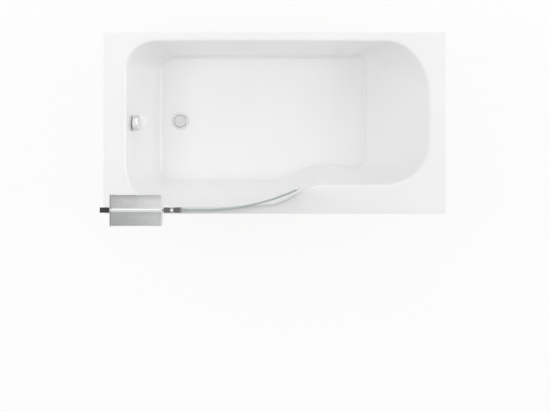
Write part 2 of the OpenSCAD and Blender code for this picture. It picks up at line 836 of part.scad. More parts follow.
module top_hinge_swing() color("dimgray") place()
    swing_clamp(hinge_z + ear_h + 0.3, hinge_h - 2 * ear_h - 0.6, hinge_z, hinge_h)
        block(
            [pivot_x + hinge_gap - over, glass_y - slot, hinge_z - over],
            [pivot_x + 60, glass_y + slot, glass_top + gap]
        );

module low_hinge_swing() color("black") place()
    swing_clamp(low_z + ear_h + 0.3, low_barrel_h, low_z + ear_h + 0.3, low_clamp_h)
        block(
            [pivot_x + hinge_gap - over, glass_y - slot, swing_z - gap],
            [pivot_x + 60, glass_y + slot, swing_z + 60]
        );

module low_hinge_fixed() color("black") place() {
    at_pivot(low_z) cylinder(r = ear_r, h = ear_h);
    block([foot_rail_x + gap, glass_y - 10, low_z], [pivot_x, glass_y + 10, low_z + ear_h]);
    block(
        [foot_rail_x + gap, glass_y - 10, low_z],
        [pivot_x - hinge_gap, glass_y - slot - gap, low_z + foot_rail_h - 4]
    );
    block(
        [foot_rail_x + gap, glass_y + slot + gap, low_z],
        [pivot_x - hinge_gap, glass_y + 10, low_z + foot_rail_h - 4]
    );
    at_pivot(low_z) cylinder(r = pin_r, h = ear_h + low_barrel_h);
    at_pivot(rim_h + 0.5) cylinder(r = ear_r - 3, h = 4);
}

// ---- screen: the part that swings ----

module swing_glass() color("lightblue", 0.4) place() union() {
    block(
        [swing_from, glass_y - glass_t / 2, swing_z], [swing_from + 20, glass_y + glass_t / 2, glass_top]
    );
    along_screen(swing_from + 10, swing_end, glass_t, swing_z, glass_top - swing_z);
}

module swing_edge_seal() color("gray") place() {
    low = low_z + ear_h + low_clamp_h + 1;
    difference() {
        block([pivot_x + 8, glass_y - 5, low], [pivot_x + 22, glass_y + 5, hinge_z - over]);
        block([swing_from - gap, glass_y - slot, low - over], [pivot_x + 60, glass_y + slot, hinge_z]);
    }
}

module swing_bottom_strip() color("dimgray") place() difference() {
    union() {
        along_screen(strip_from, swing_end, 10, swing_z - 5, 12);
        along_screen(strip_wide_from, swing_end - over, 8, swing_z - 13, 10);
    }
    along_screen(strip_from - 5, swing_end + 5, 2 * slot, swing_z - gap, 20);
}

module drip_seal() color("lightgray") place() {
    along_screen(strip_from, strip_wide_from, 5, rim_h + 2, swing_z - 5 - rim_h - 2);
    along_screen(strip_wide_from, swing_end, 5, rim_h + 2, swing_z - 13 - rim_h - 2);
}

module splash_deflector() color("lightcyan", 0.6) place() difference() {
    along_screen(swing_end - 14, swing_end + deflector_l, 10, swing_z + 7.5, deflector_h);
    along_screen(swing_end - 20, swing_end + gap, 2 * slot, swing_z, deflector_h + 20);
}

// ---- storage rack over the fixed glass ----

// side view of a plate: a long leg on the room side, a short one on the bath side, round top corners
function rack_outline() = let (
    front = glass_y - rack_out,
    back = glass_y + rack_in,
    r = rack_round
) concat(
    [[front, rack_low], [glass_y - slot, rack_low], [glass_y - slot, glass_top]],
    [[glass_y + slot, glass_top], [glass_y + slot, rack_mid], [back, rack_mid]],
    [for (a = [0:10:90]) [back - r + r * cos(a), rack_top - r + r * sin(a)]],
    [for (a = [90:15:180]) [front + 6 + 6 * cos(a), rack_top - 6 + 6 * sin(a)]]
);

module rack_plate(x) difference() {
    translate([x, 0, 0]) rotate([90, 0, 90]) linear_extrude(rack_t) polygon(rack_outline());
    for (at = rack_screw_at) along_x(x - over, at[0], at[1]) cylinder(r = screw_r, h = rack_t + 2 * over);
}

module rack_plate_left() color("dimgray") place() rack_plate(rack_left);

module rack_plate_right() color("darkgray") place() rack_plate(rack_right);

module rack_screw_holes() for (at = rack_screw_at) {
    along_x(rack_left, at[0], at[1]) cylinder(r = screw_r, h = rack_t + 10);
    along_x(rack_right - 10, at[0], at[1]) cylinder(r = screw_r, h = 12);
}

module rack_screws() color("silver") place() for (at = rack_screw_at) {
    along_x(rack_left - 2, at[0], at[1]) cylinder(r = head_r, h = 2);
    along_x(rack_left - over, at[0], at[1]) cylinder(r = screw_r, h = rack_t + 4);
    along_x(rack_right + rack_t, at[0], at[1]) cylinder(r = head_r, h = 2);
    along_x(rack_right - 3, at[0], at[1]) cylinder(r = screw_r, h = rack_t + 4);
}

module rack_rod() color("lightgray") place() difference() {
    along_x(tray_x, glass_y, rod_z) cylinder(r = rod_r, h = tray_l);
    rack_screw_holes();
}

module tray(depth, z) color("white") place() difference() {
    block([tray_x, depth[0], z], [tray_x + tray_l, depth[1], z + tray_h]);
    block(
        [tray_x + tray_t, depth[0] + tray_t, z + tray_t],
        [tray_x + tray_l - tray_t, depth[1] - tray_t, z + tray_h + over]
    );
    rack_screw_holes();
}

bath_shell();
base_board();
front_batten();
back_batten();
end_battens();
leg_rail(leg_left);  // leg_rail_left
leg_rail(leg_right);  // leg_rail_right
frame_screws();
lock_nuts();
foot_rod(leg_left, leg_y[0]);  // foot_rod_front_left
foot_rod(leg_right, leg_y[0]);  // foot_rod_front_right
foot_rod(leg_left, leg_y[1]);  // foot_rod_back_left
foot_rod(leg_right, leg_y[1]);  // foot_rod_back_right
foot_pad(leg_left, leg_y[0]);  // foot_pad_front_left
foot_pad(leg_right, leg_y[0]);  // foot_pad_front_right
foot_pad(leg_left, leg_y[1]);  // foot_pad_back_left
foot_pad(leg_right, leg_y[1]);  // foot_pad_back_right
wall_clips();
waste_flange_seal();
waste_flange();
waste_plug();
plug_seal();
waste_body_seal();
waste_body();
overflow_elbow();
overflow_seal();
overflow_face();
overflow_knob();
overflow_pipe();
control_cable();
trap_body();
trap_inlet_nut();
trap_outlet_nut();
trap_outlet_seal();
wall_profile();
adjusting_profile();
glazing_gasket();
profile_cap();
profile_screws();
fixed_glass();
fixed_bottom_rail();
post_profile();
top_hinge_fixed();
top_hinge_pin();
top_hinge_swing();
low_hinge_fixed();
low_hinge_swing();
swing_glass();
swing_edge_seal();
swing_bottom_strip();
drip_seal();
splash_deflector();
rack_plate_left();
rack_plate_right();
rack_rod();
tray(tray_out, upper_tray_z);  // upper_tray_outer
tray(tray_in, upper_tray_z);  // upper_tray_inner
tray(tray_out, lower_tray_z);  // lower_tray
rack_screws();
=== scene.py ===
"""Dresses the packed shower bath: glossy shell, leg frame, waste and overflow, hinged glass screen, rack."""

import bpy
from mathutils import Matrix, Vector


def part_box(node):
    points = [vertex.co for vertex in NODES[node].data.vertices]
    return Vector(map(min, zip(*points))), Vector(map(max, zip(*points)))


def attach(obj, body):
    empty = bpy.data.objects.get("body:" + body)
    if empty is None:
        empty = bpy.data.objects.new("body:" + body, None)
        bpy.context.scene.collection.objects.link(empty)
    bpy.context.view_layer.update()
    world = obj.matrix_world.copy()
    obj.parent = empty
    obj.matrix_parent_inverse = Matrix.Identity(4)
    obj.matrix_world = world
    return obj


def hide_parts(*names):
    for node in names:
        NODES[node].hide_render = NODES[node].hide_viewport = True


bl_info = {
    "name": "Shower bath with hinged screen",
    "version": (1, 0, 0),
    "blender": (4, 5, 0),
    "location": "View3D > Sidebar > Shower Bath",
    "description": "Builds the pieces, finishes and studio of a shower bath round its packed frame",
    "category": "Object",
}

import math

import bmesh
import bpy
from bpy.props import FloatProperty, FloatVectorProperty, IntProperty, PointerProperty
from bpy.types import Operator, Panel, PropertyGroup
from mathutils import Matrix, Vector

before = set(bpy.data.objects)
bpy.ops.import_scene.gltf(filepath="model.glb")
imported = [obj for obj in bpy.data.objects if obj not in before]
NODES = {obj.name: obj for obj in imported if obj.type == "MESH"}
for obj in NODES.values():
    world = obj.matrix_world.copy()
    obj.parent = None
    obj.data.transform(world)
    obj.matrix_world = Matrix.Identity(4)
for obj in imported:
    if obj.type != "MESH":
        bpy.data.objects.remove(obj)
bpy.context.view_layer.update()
CORNER, FAR_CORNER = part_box("bath_shell")

# sizes in metres that the solids fix, with places from the bath's front left corner on the floor
LENGTH = FAR_CORNER.x - CORNER.x
WIDTH = FAR_CORNER.y - CORNER.y
RIM = FAR_CORNER.z
RIM_LEFT = 0.112
BASIN_DEPTH = 0.405
DRAIN = (0.378, 0.462)

# the basin's walls run straight to a knee, at these shares of the way in and down, then curve into the floor
KNEE_RUN = 0.76
KNEE_DROP = 0.87
FLOOR_INSETS = {"left": 0.181, "back": 0.086, "front": 0.136, "ledge": 0.109, "bend": 0.005}

# the overflow, square to the tilted wall at the drain end
TILT = math.atan(KNEE_RUN * FLOOR_INSETS["left"] / (KNEE_DROP * BASIN_DEPTH))
OVERFLOW_DOWN = 0.072
OVERFLOW = (RIM_LEFT + OVERFLOW_DOWN * math.tan(TILT), 0.450, RIM - OVERFLOW_DOWN)
OVERFLOW_AXIS = Vector((math.cos(TILT), 0, math.sin(TILT)))

# the line of the glass, straight past the pivot and then bent towards the bath
GLASS_Y = 0.018
GLASS_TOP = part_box("fixed_glass")[1].z
PIVOT_X = 0.350
CURVE_FROM = 0.500
CURVE_R = 1.100


# ---- settings ----

def length(name, description, default):
    return FloatProperty(
        name=name, description=description, default=default, min=0, max=10, unit="LENGTH", precision=5
    )


def colour(name, description, default):
    return FloatVectorProperty(
        name=name, description=description, default=default, size=3, subtype="COLOR", min=0, max=1
    )


def count(name, description, default, least, most):
    return IntProperty(name=name, description=description, default=default, min=least, max=most)


def power(name, description, default):
    return FloatProperty(
        name=name, description=description, default=default, min=0, max=5000, unit="POWER"
    )


class ShellSettings(PropertyGroup):
    """Sizes of the acrylic shell that its skin is drawn from."""

    depth: length("Basin depth", "Depth of the basin below the rim", BASIN_DEPTH)
    wall: length("Acrylic", "Thickness of the acrylic", 0.0055)
    skirt: length("Turned edge", "Height of the turned-down edge", 0.040)
    fall: length("Fall", "Fall of the basin floor towards the drain", 0.006)
    left: length("Rim, drain end", "Width of the rim at the drain end", RIM_LEFT)
    right: length("Rim, backrest end", "Width of the rim at the backrest end", 0.082)
    back: length("Rim, wall side", "Width of the rim along the wall", 0.0425)
    front: length("Rim, wide zone", "Width of the front rim in the wide zone", 0.0415)
    ledge: length("Rim, narrow zone", "Width of the front rim in the narrow zone", 0.143)
    bend_from: length("S bend from", "Distance from the drain end to the S bend", 0.820)
    bend_to: length("S bend to", "Distance from the drain end to the S bend's end", 1.085)
    backrest: length("Backrest run", "Run of the sloping backrest", 0.403)
    roll: length("Rolled rim", "Size of the roll where the rim turns into the basin", 0.013)
    edge: length("Outer edge", "Size of the rounded outer edge", 0.002)
    smooth: count("Steps", "Steps in each corner", 20, 6, 60)
    white: colour("Acrylic colour", "Colour of the acrylic", (0.92, 0.92, 0.92))
    resin: colour("Resin colour", "Colour of the glass fibre resin underneath", (0.74, 0.71, 0.61))


class FrameSettings(PropertyGroup):
    """Sizes and colours of the leg frame and its feet."""

    pitch: length("Thread pitch", "Pitch of the foot rods' threads", 0.0025)
    thread: length("Thread depth", "Depth of the foot rods' threads", 0.0009)
    ribs: count("Foot ribs", "Ribs under each foot's hub", 8, 3, 24)
    timber: colour("Timber", "Colour of the softwood battens", (0.62, 0.44, 0.25))
    board: colour("Board", "Colour of the chipboard", (0.50, 0.36, 0.20))
    zinc: colour("Zinc", "Colour of the zinc plate", (0.62, 0.63, 0.65))
    plastic: colour("Black plastic", "Colour of the foot pads", (0.028, 0.028, 0.030))


class WasteSettings(PropertyGroup):
    """Sizes and colours of the waste, the overflow and the trap."""

    grips: count("Nut grips", "Grip ribs round each trap nut", 12, 6, 48)
    chrome: colour("Chrome", "Colour of the polished chrome", (0.78, 0.79, 0.80))
    satin: colour("Satin chrome", "Colour of the plug's satin chrome", (0.69, 0.69, 0.695))
    # the plug rim's dark colour is painted shade: it stands for the shadow in the gap round the plug
    rim: colour("Plug rim", "Colour of the plug's polished rim", (0.42, 0.42, 0.43))
    flange: colour("Flange", "Colour of the bright satin ring round the plug", (0.94, 0.94, 0.945))
    knob: colour("Knob", "Colour of the overflow's soft chrome", (0.80, 0.80, 0.805))
    plastic: colour("White plastic", "Colour of the moulded waste parts", (0.84, 0.84, 0.82))
    rubber: colour("Rubber", "Colour of the gaskets", (0.035, 0.035, 0.036))
    cable: colour("Cable", "Colour of the control cable's sheath", (0.022, 0.022, 0.024))


class ScreenSettings(PropertyGroup):
    """Sizes and colours of the hinged glass screen."""

    glass: length("Glass", "Thickness of the glass", 0.006)
    arris: length("Arris", "Size of the ground edges of the glass", 0.0008)
    swing: length("Swing panel", "Length of the swing panel along its curve, from the pivot", 0.620)
    tint: colour("Glass tint", "Colour of the light that passes the glass", (0.915, 0.925, 0.925))
    sheen: colour("Glass sheen", "Colour of the glass where it reflects", (0.80, 0.81, 0.815))
    rim_green: colour("Glass edge", "Colour of the ground glass edges", (0.42, 0.49, 0.47))
    aluminium: colour("Wall profile", "Colour of the satin aluminium", (0.72, 0.73, 0.74))
    post: colour("Post", "Colour of the pivot post", (0.74, 0.75, 0.76))
    hinge: colour("Top hinge", "Colour of the dark chrome top hinge", (0.15, 0.15, 0.155))
    pivot: colour("Bottom hinge", "Colour of the grey bottom hinge", (0.42, 0.42, 0.43))
    strip: colour("Bottom strip", "Colour of the strip under the glass", (0.34, 0.34, 0.35))
    rail: colour("Bottom rail", "Colour of the fixed pane's powder-coated rail", (0.90, 0.90, 0.90))
    seal: colour("Seals", "Colour of the grey seals", (0.60, 0.605, 0.61))


class RackSettings(PropertyGroup):
    """Sizes and colours of the hanging storage rack."""

    tray_round: length("Tray corners", "Radius of the trays' corners", 0.008)
    tray_wall: length("Tray walls", "Thickness of the trays' walls", 0.003)
    # the two plates are one satin metal; the left plate's darker colour is painted shade
    left: colour("Left plate", "Colour of the rack plate near the wall", (0.44, 0.445, 0.45))
    right: colour("Right plate", "Colour of the rack plate near the pivot", (0.82, 0.825, 0.83))
    rod: colour("Rod", "Colour of the cross rod", (0.74, 0.75, 0.76))
    tray: colour("Trays", "Colour of the trays", (0.94, 0.94, 0.94))


class StudioSettings(PropertyGroup):
    """Lamps, backdrop and camera."""

    sky: FloatProperty(name="Sky", description="Strength of the even light", default=0.65, min=0, max=4)
    back: power("Back lamp", "Power of the lamp behind", 56.0)
    left: power("Left lamp", "Power of the lamp on the left", 55.0)
    right: power("Right lamp", "Power of the lamp on the right", 132.0)
    lens: FloatProperty(
        name="Lens", description="Focal length in millimetres", default=900.0, min=20, max=5000
    )
    pixel: length("Pixel", "Size of one pixel at the rim", 0.004965)


GROUPS = {
    "shower_shell": ShellSettings,
    "shower_frame": FrameSettings,
    "shower_waste": WasteSettings,
    "shower_screen": ScreenSettings,
    "shower_rack": RackSettings,
    "shower_studio": StudioSettings,
}


def settings(context, group):
    return getattr(context.scene, group)


# ---- places and curves ----

CORNER_STEPS = 6


def at(x, y, z):
    """A point measured from the bath's front left corner on the floor."""
    return Vector((CORNER.x + x, CORNER.y + y, z))


def middle_of(node):
    low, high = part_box(node)
    return (low + high) / 2


def mix(a, b, t):
    return a + (b - a) * t


def ease(t):
    return t * t * (3 - 2 * t)


def frame_at(origin, axis):
    """A frame at a point whose local Z lies along an axis."""
    return Matrix.Translation(origin) @ Vector(axis).to_track_quat("Z", "Y").to_matrix().to_4x4()


def arc(cx, cy, rx, ry, start, steps):
    """A quarter of an ellipse, anticlockwise from an angle in degrees."""
    turns = [math.radians(start + 90 * i / steps) for i in range(steps + 1)]
    return [(cx + rx * math.cos(a), cy + ry * math.sin(a)) for a in turns]


def between(a, b, steps):
    """The points inside a straight run from a to b."""
    return [(mix(a[0], b[0], i / steps), mix(a[1], b[1], i / steps)) for i in range(1, steps)]


def rounded(x0, x1, y0, y1, radius):
    """A rectangle with round corners, anticlockwise."""
    return (
        arc(x0 + radius, y0 + radius, radius, radius, 180, CORNER_STEPS)
        + arc(x1 - radius, y0 + radius, radius, radius, 270, CORNER_STEPS)
        + arc(x1 - radius, y1 - radius, radius, radius, 0, CORNER_STEPS)
        + arc(x0 + radius, y1 - radius, radius, radius, 90, CORNER_STEPS)
    )


def quarter_turn(steps):
    """The sine and cosine through a quarter turn."""
    turns = [math.radians(90 * i / steps) for i in range(steps + 1)]
    return [(math.sin(a), math.cos(a)) for a in turns]


def turned(place, profile, steps, wave=None):
    """Rings of a profile of radius and height, turned round local Z; wave changes the radius on the way."""
    rings = []
    for radius, height in profile:
        ring = []
        for i in range(steps):
            turn = 2 * math.pi * i / steps
            r = wave(turn, radius, height) if wave else radius
            ring.append(place @ Vector((r * math.cos(turn), r * math.sin(turn), height)))
        rings.append(ring)
    return rings


def bezier(a, b, c, t):
    """A point on the curve from a to c that b pulls towards itself."""
    return a * (1 - t) ** 2 + b * (2 * t * (1 - t)) + c * t * t


def along_glass(distance, offset=0.0):
    """A point on the line of the screen, at a distance along it and an offset towards the bath."""
    if distance < CURVE_FROM:
        return distance, GLASS_Y + offset
    turn = (distance - CURVE_FROM) / CURVE_R
    reach = CURVE_R - offset
    return CURVE_FROM + reach * math.sin(turn), GLASS_Y + CURVE_R - reach * math.cos(turn)


# ---- mesh building ----

MERGE_REACH = 1e-6
WELD_REACH = 5e-6
BREAK_ANGLE = math.radians(38)


def band(first, last):
    """Gives the second finish to the strips from one ring of a skin to another."""
    return lambda k, i: int(first <= k < last)


class Shape:
    """Collects the surfaces of one piece and makes its mesh."""

    def __init__(self):
        self.points = []
        self.faces = []
        self.paint = []

    def face(self, corners, tone):
        self.faces.append(corners)
        self.paint.append(tone)

    def loft(self, rings, loop=False, caps=True, paint=0):
        """A skin through rings of equal length. paint is a number, or a function of ring and point."""
        start, count = len(self.points), len(rings[0])
        for ring in rings:
            self.points.extend(Vector(p) for p in ring)
        pairs = len(rings) if loop else len(rings) - 1
        for k in range(pairs):
            here, there = start + k * count, start + (k + 1) % len(rings) * count
            for i in range(count):
                j = (i + 1) % count
                tone = paint(k, i) if callable(paint) else paint
                self.face((here + i, here + j, there + j, there + i), tone)
        if caps and not loop:
            tone = paint(-1, 0) if callable(paint) else paint
            self.face(tuple(start + i for i in reversed(range(count))), tone)
            self.face(tuple(start + (len(rings) - 1) * count + i for i in range(count)), tone)
        return self

    def lathe(self, place, profile, steps, wave=None, paint=0):
        """A skin turned from a profile that starts and ends on the axis."""
        return self.loft(turned(place, profile, steps, wave), caps=False, paint=paint)

    def make(self, name, body, finishes, replaced, slot, sharp=32):
        """Makes the object, which rides on its body in place of the nodes that it replaces."""
        mesh = bpy.data.meshes.new(name)
        mesh.from_pydata([tuple(p) for p in self.points], [], self.faces)
        for polygon, tone in zip(mesh.polygons, self.paint):
            polygon.material_index = tone
        for finish in finishes:
            mesh.materials.append(finish)
        work = bmesh.new()
        work.from_mesh(mesh)
        bmesh.ops.remove_doubles(work, verts=work.verts, dist=MERGE_REACH)
        bmesh.ops.recalc_face_normals(work, faces=work.faces)
        work.to_mesh(mesh)
        work.free()
        mesh.shade_smooth()
        mesh.set_sharp_from_angle(angle=math.radians(sharp))
        piece = bpy.data.objects.new(name, mesh)
        bpy.context.scene.collection.objects.link(piece)
        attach(piece, body)
        if replaced:
            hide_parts(*replaced)


def soften(node, finish, width, segments=2):
    """Gives a solid its finish, closed seams and, where the width isn't 0, broken edges."""
    piece = NODES[node]
    if not piece.material_slots:
        piece.data.materials.append(None)
    for holder in piece.material_slots:
        holder.link = "OBJECT"
        holder.material = finish
    weld = piece.modifiers.new("closed_seams", "WELD")
    weld.merge_threshold = WELD_REACH
    if width:
        bevel = piece.modifiers.new("broken_edges", "BEVEL")
        bevel.limit_method = "ANGLE"
        bevel.angle_limit = BREAK_ANGLE
        bevel.width = width
        bevel.segments = segments
    shade = piece.modifiers.new("even_shading", "WEIGHTED_NORMAL")
    shade.keep_sharp = False


# ---- shader building ----

class Value:
    """The output of a node. Where it is a number that varies over a surface, sums on it add Math nodes."""

    def __init__(self, paint, socket):
        self.paint = paint
        self.socket = socket

    def maths(self, operation, other, other_first=False):
        """A Math node on this value and another one or a plain number."""
        pair = (other, self) if other_first else (self, other)
        return self.paint.node("ShaderNodeMath", {"operation": operation}, dict(enumerate(pair)))

    def __add__(self, other):
        return self.maths("ADD", other)

    def __radd__(self, other):
        return self.maths("ADD", other, True)

    def __sub__(self, other):
        return self.maths("SUBTRACT", other)

    def __rsub__(self, other):
        return self.maths("SUBTRACT", other, True)

    def __mul__(self, other):
        return self.maths("MULTIPLY", other)

    def __rmul__(self, other):
        return self.maths("MULTIPLY", other, True)

    def __pow__(self, other):
        return self.maths("POWER", other)

    def __rpow__(self, other):
        return self.maths("POWER", other, True)

    def largest(self, other):
        return self.maths("MAXIMUM", other)

    def span(self, low, high):
        """Maps a range of values onto 0 to 1, smoothly, and holds it there."""
        return self.paint.node(
            "ShaderNodeMapRange", {"interpolation_type": "SMOOTHSTEP"}, {0: self, 1: low, 2: high}
        )


class Paint:
    """The nodes of one procedural material, or of the sky."""

    def __init__(self, name, sky=False):
        self.owner = (bpy.data.worlds if sky else bpy.data.materials).new(name)
        self.owner.use_nodes = True
        self.tree = self.owner.node_tree
        self.tree.nodes.clear()
        self.output = "ShaderNodeOutputWorld" if sky else "ShaderNodeOutputMaterial"

    def node(self, kind, options=None, inputs=None, output=0):
        """Adds a node: its options first, then the values or links of its sockets."""
        made = self.tree.nodes.new(kind)
        for key, value in (options or {}).items():
            setattr(made, key, value)
        for key, value in (inputs or {}).items():
            if isinstance(value, Value):
                self.tree.links.new(value.socket, made.inputs[key])
            else:
                made.inputs[key].default_value = value
        return Value(self, made.outputs[output]) if len(made.outputs) else None

    def place(self, scale):
        """The surface's own coordinates, stretched."""
        own = self.node("ShaderNodeTexCoord", output="Object")
        return self.node("ShaderNodeMapping", None, {"Vector": own, "Scale": scale})

    def noise(self, scale, detail=2.0, roughness=0.5, stretch=(1, 1, 1), twist=0.0):
        """Soft clouds of values."""
        inputs = {
            "Vector": self.place(stretch), "Scale": scale, "Detail": detail,
            "Roughness": roughness, "Distortion": twist,
        }
        return self.node("ShaderNodeTexNoise", None, inputs)

    def cells(self, scale, stretch=(1, 1, 1), output="Distance"):
        """Cells over the surface: the distance from the middle of each, or a colour for each."""
        inputs = {"Vector": self.place(stretch), "Scale": scale}
        return self.node("ShaderNodeTexVoronoi", None, inputs, output)

    def cell_tones(self, scale, stretch=(1, 1, 1)):
        """A number of its own for each cell."""
        return self.node("ShaderNodeSeparateColor", None, {0: self.cells(scale, stretch, "Color")})

    def blend(self, factor, a, b):
        """Mixes two colours, which a Mix node takes at its sockets 6 and 7 and gives at its output 2."""
        tones = {0: factor, 6: self.rgba(a), 7: self.rgba(b)}
        return self.node("ShaderNodeMix", {"data_type": "RGBA"}, tones, 2)

    @staticmethod
    def rgba(tone):
        return tone if isinstance(tone, Value) else (*tone, 1.0)

    def relief(self, height, distance, strength):
        """Bumps a surface by a height that varies over it."""
        inputs = {"Height": height, "Distance": distance, "Strength": strength}
        return self.node("ShaderNodeBump", None, inputs)

    def principled(self, **sockets):
        inputs = {name.replace("_", " "): value for name, value in sockets.items()}
        inputs["Base Color"] = self.rgba(inputs["Base Color"])
        return self.node("ShaderNodeBsdfPrincipled", None, inputs)

    def finish(self, shader):
        """Joins the shader to the output, and gives the finished material or sky."""
        self.node(self.output, None, {"Surface": shader})
        return self.owner


def shade(tone, factor):
    """A colour made lighter or darker."""
    return tuple(min(1.0, c * factor) for c in tone)


def gloss_acrylic(name, tone):
    """Vacuum-formed sanitary acrylic: hard gloss, faint wipe marks, a slow wave in its surface."""
    paint = Paint(name)
    slow = paint.noise(2.2, 2.0)
    base = paint.blend(slow.span(0.35, 0.65), shade(tone, 0.985), shade(tone, 1.008))
    wiped = paint.noise(26.0, 4.0, 0.6, (1, 1, 0.3)).span(0.4, 0.75)
    wave = paint.noise(5.0, 1.0)
    return paint.finish(paint.principled(
        Base_Color=base, Roughness=wiped * 0.05 + 0.07, IOR=1.49,
        Normal=paint.relief(wave, 0.0012, 0.35),
    ))


def fibre_resin(name, tone):
    """Sprayed glass fibre and resin on the hidden side of the shell."""
    paint = Paint(name)
    strands = paint.cells(150.0, (1, 0.22, 0.6)).span(0.05, 0.4)
    crossed = paint.cells(130.0, (0.24, 1, 0.7)).span(0.05, 0.4)
    lumps = paint.noise(34.0, 4.0, 0.6)
    weave = strands * 0.5 + crossed * 0.5
    cover = weave * 0.6 + lumps.span(0.35, 0.7) * 0.4
    return paint.finish(paint.principled(
        Base_Color=paint.blend(cover, shade(tone, 0.82), shade(tone, 1.12)), Roughness=lumps * 0.3 + 0.38,
        Normal=paint.relief(weave * 0.5 + lumps, 0.0012, 0.8),
    ))


def softwood(name, tone, along=(0.06, 1, 1)):
    """Sawn softwood with long grain, growth lines and saw marks."""
    paint = Paint(name)
    grain = paint.noise(120.0, 6.0, 0.62, along, twist=0.4)
    rings = paint.noise(26.0, 2.0, 0.5, along, twist=1.6).span(0.42, 0.58)
    base = paint.blend(rings, shade(tone, 0.78), shade(tone, 1.16))
    base = paint.blend(grain.span(0.35, 0.72), shade(tone, 0.70), base)
    saw = paint.noise(420.0, 1.0, 0.5, (1, 0.15, 0.15))
    return paint.finish(paint.principled(
        Base_Color=base, Roughness=grain * 0.2 + 0.62,
        Normal=paint.relief(grain * 0.6 + saw * 0.4, 0.0005, 0.7),
    ))


def chipboard(name, tone):
    """Pressed wood chips of mixed tones."""
    paint = Paint(name)
    spread = (0.55, 1, 1.6)
    flake = paint.cells(170.0, spread)
    fine = paint.noise(600.0, 3.0)
    base = paint.blend(paint.cell_tones(170.0, spread), shade(tone, 0.66), shade(tone, 1.28))
    base = paint.blend(flake.span(0.45, 0.8) * 0.5, base, shade(tone, 0.5))
    return paint.finish(paint.principled(
        Base_Color=base, Roughness=fine * 0.2 + 0.68,
        Normal=paint.relief(fine * 0.5 - flake * 0.5, 0.0006, 0.8),
    ))


def zinc_plate(name, tone):
    """Bright zinc with a faint crystal pattern."""
    paint = Paint(name)
    crystal = paint.cell_tones(75.0)
    scuff = paint.noise(220.0, 4.0, 0.65)
    base = paint.blend(crystal, shade(tone, 0.86), shade(tone, 1.12))
    return paint.finish(paint.principled(
        Base_Color=base, Metallic=1.0, Roughness=crystal * 0.12 + scuff * 0.15 + 0.24,
        Normal=paint.relief(scuff, 0.0002, 0.35),
    ))


def moulded(name, tone, rough):
    """Moulded plastic with a fine tool grain and faint handling marks."""
    paint = Paint(name)
    cloud = paint.noise(14.0, 3.0)
    grain = paint.noise(900.0, 2.0)
    base = paint.blend(cloud.span(0.3, 0.7), shade(tone, 0.955), shade(tone, 1.02))
    return paint.finish(paint.principled(
        Base_Color=base, Roughness=cloud * 0.12 + (rough - 0.06),
        Normal=paint.relief(grain, 0.00012, 0.6),
    ))


def soft_rubber(name, tone):
    """Matt rubber with bloom in its low places."""
    paint = Paint(name)
    bloom = paint.noise(60.0, 4.0, 0.6).span(0.4, 0.8)
    fine = paint.noise(1500.0, 2.0)
    base = paint.blend(bloom * 0.6, tone, shade(tone, 1.5))
    return paint.finish(paint.principled(
        Base_Color=base, Roughness=bloom * 0.15 + 0.66, Normal=paint.relief(fine, 0.0001, 0.5),
    ))


def polished(name, tone, rough=0.06):
    """Polished plate with faint wipe marks."""
    paint = Paint(name)
    smear = paint.noise(70.0, 5.0, 0.65, twist=0.6).span(0.45, 0.8)
    base = paint.blend(smear, tone, shade(tone, 0.94))
    return paint.finish(paint.principled(Base_Color=base, Metallic=1.0, Roughness=smear * 0.06 + rough))


def brushed(name, tone, stretch, rough):
    """Satin metal, brushed along the direction that the stretch leaves long."""
    paint = Paint(name)
    lines = paint.noise(900.0, 3.0, 0.6, stretch)
    broad = paint.noise(40.0, 2.0, 0.5, stretch)
    base = paint.blend(lines.span(0.3, 0.7), shade(tone, 0.93), shade(tone, 1.05))
    return paint.finish(paint.principled(
        Base_Color=base, Metallic=1.0, Roughness=lines * 0.14 + broad * 0.08 + (rough - 0.1),
        Normal=paint.relief(lines, 0.00008, 0.5),
    ))


def powder_coat(name, tone):
    """Powder coat with its fine orange-peel skin."""
    paint = Paint(name)
    peel = paint.noise(420.0, 2.0)
    cloud = paint.noise(9.0, 2.0)
    base = paint.blend(cloud, shade(tone, 0.985), shade(tone, 1.01))
    return paint.finish(paint.principled(
        Base_Color=base, Roughness=cloud * 0.06 + 0.27, Normal=paint.relief(peel, 0.00025, 0.5),
    ))


def clear_sheet(name, tint, sheen, least=0.10, rough=0.03):
    """Clear sheet: see-through from the front, and more of its skin shows where it is seen at a slant."""
    paint = Paint(name)
    facing = paint.node("ShaderNodeLayerWeight", None, {"Blend": 0.32}, "Facing")
    film = paint.noise(5.0, 3.0, 0.5, (1, 1, 0.35)).span(0.35, 0.75)
    through = paint.node("ShaderNodeBsdfTransparent", None, {"Color": (*tint, 1)})
    skin = paint.principled(
        Base_Color=paint.blend(film, shade(sheen, 0.97), shade(sheen, 1.02)),
        Roughness=film * 0.03 + rough, IOR=1.52,
    )
    share = facing ** 2.2 * 0.55 + film * 0.02 + least
    mixed = paint.node("ShaderNodeMixShader", None, {0: share, 1: through, 2: skin})
    return paint.finish(mixed)


def glass_edge(name, tone):
    """Ground and polished edge of a glass pane."""
    paint = Paint(name)
    ground = paint.noise(300.0, 3.0, 0.6)
    return paint.finish(paint.principled(
        Base_Color=paint.blend(ground.span(0.3, 0.7), shade(tone, 0.85), shade(tone, 1.2)),
        Roughness=ground * 0.15 + 0.12, IOR=1.52,
    ))


FINISHES = {}
UPRIGHT = (1, 1, 0.02)
ACROSS = (0.02, 1, 1)
ALL_WAYS = (1, 1, 1)


def finish_of(name, make, *values):
    """One shared material for each finish."""
    if name not in FINISHES:
        FINISHES[name] = make(name, *values)
    return FINISHES[name]


def zinc_finish(context):
    return finish_of("zinc_plate", zinc_plate, settings(context, "shower_frame").zinc)


def black_finish(context):
    return finish_of("black_plastic", moulded, settings(context, "shower_frame").plastic, 0.46)


def white_finish(context):
    return finish_of("white_moulding", moulded, settings(context, "shower_waste").plastic, 0.36)


def rubber_finish(context):
    return finish_of("dark_rubber", soft_rubber, settings(context, "shower_waste").rubber)


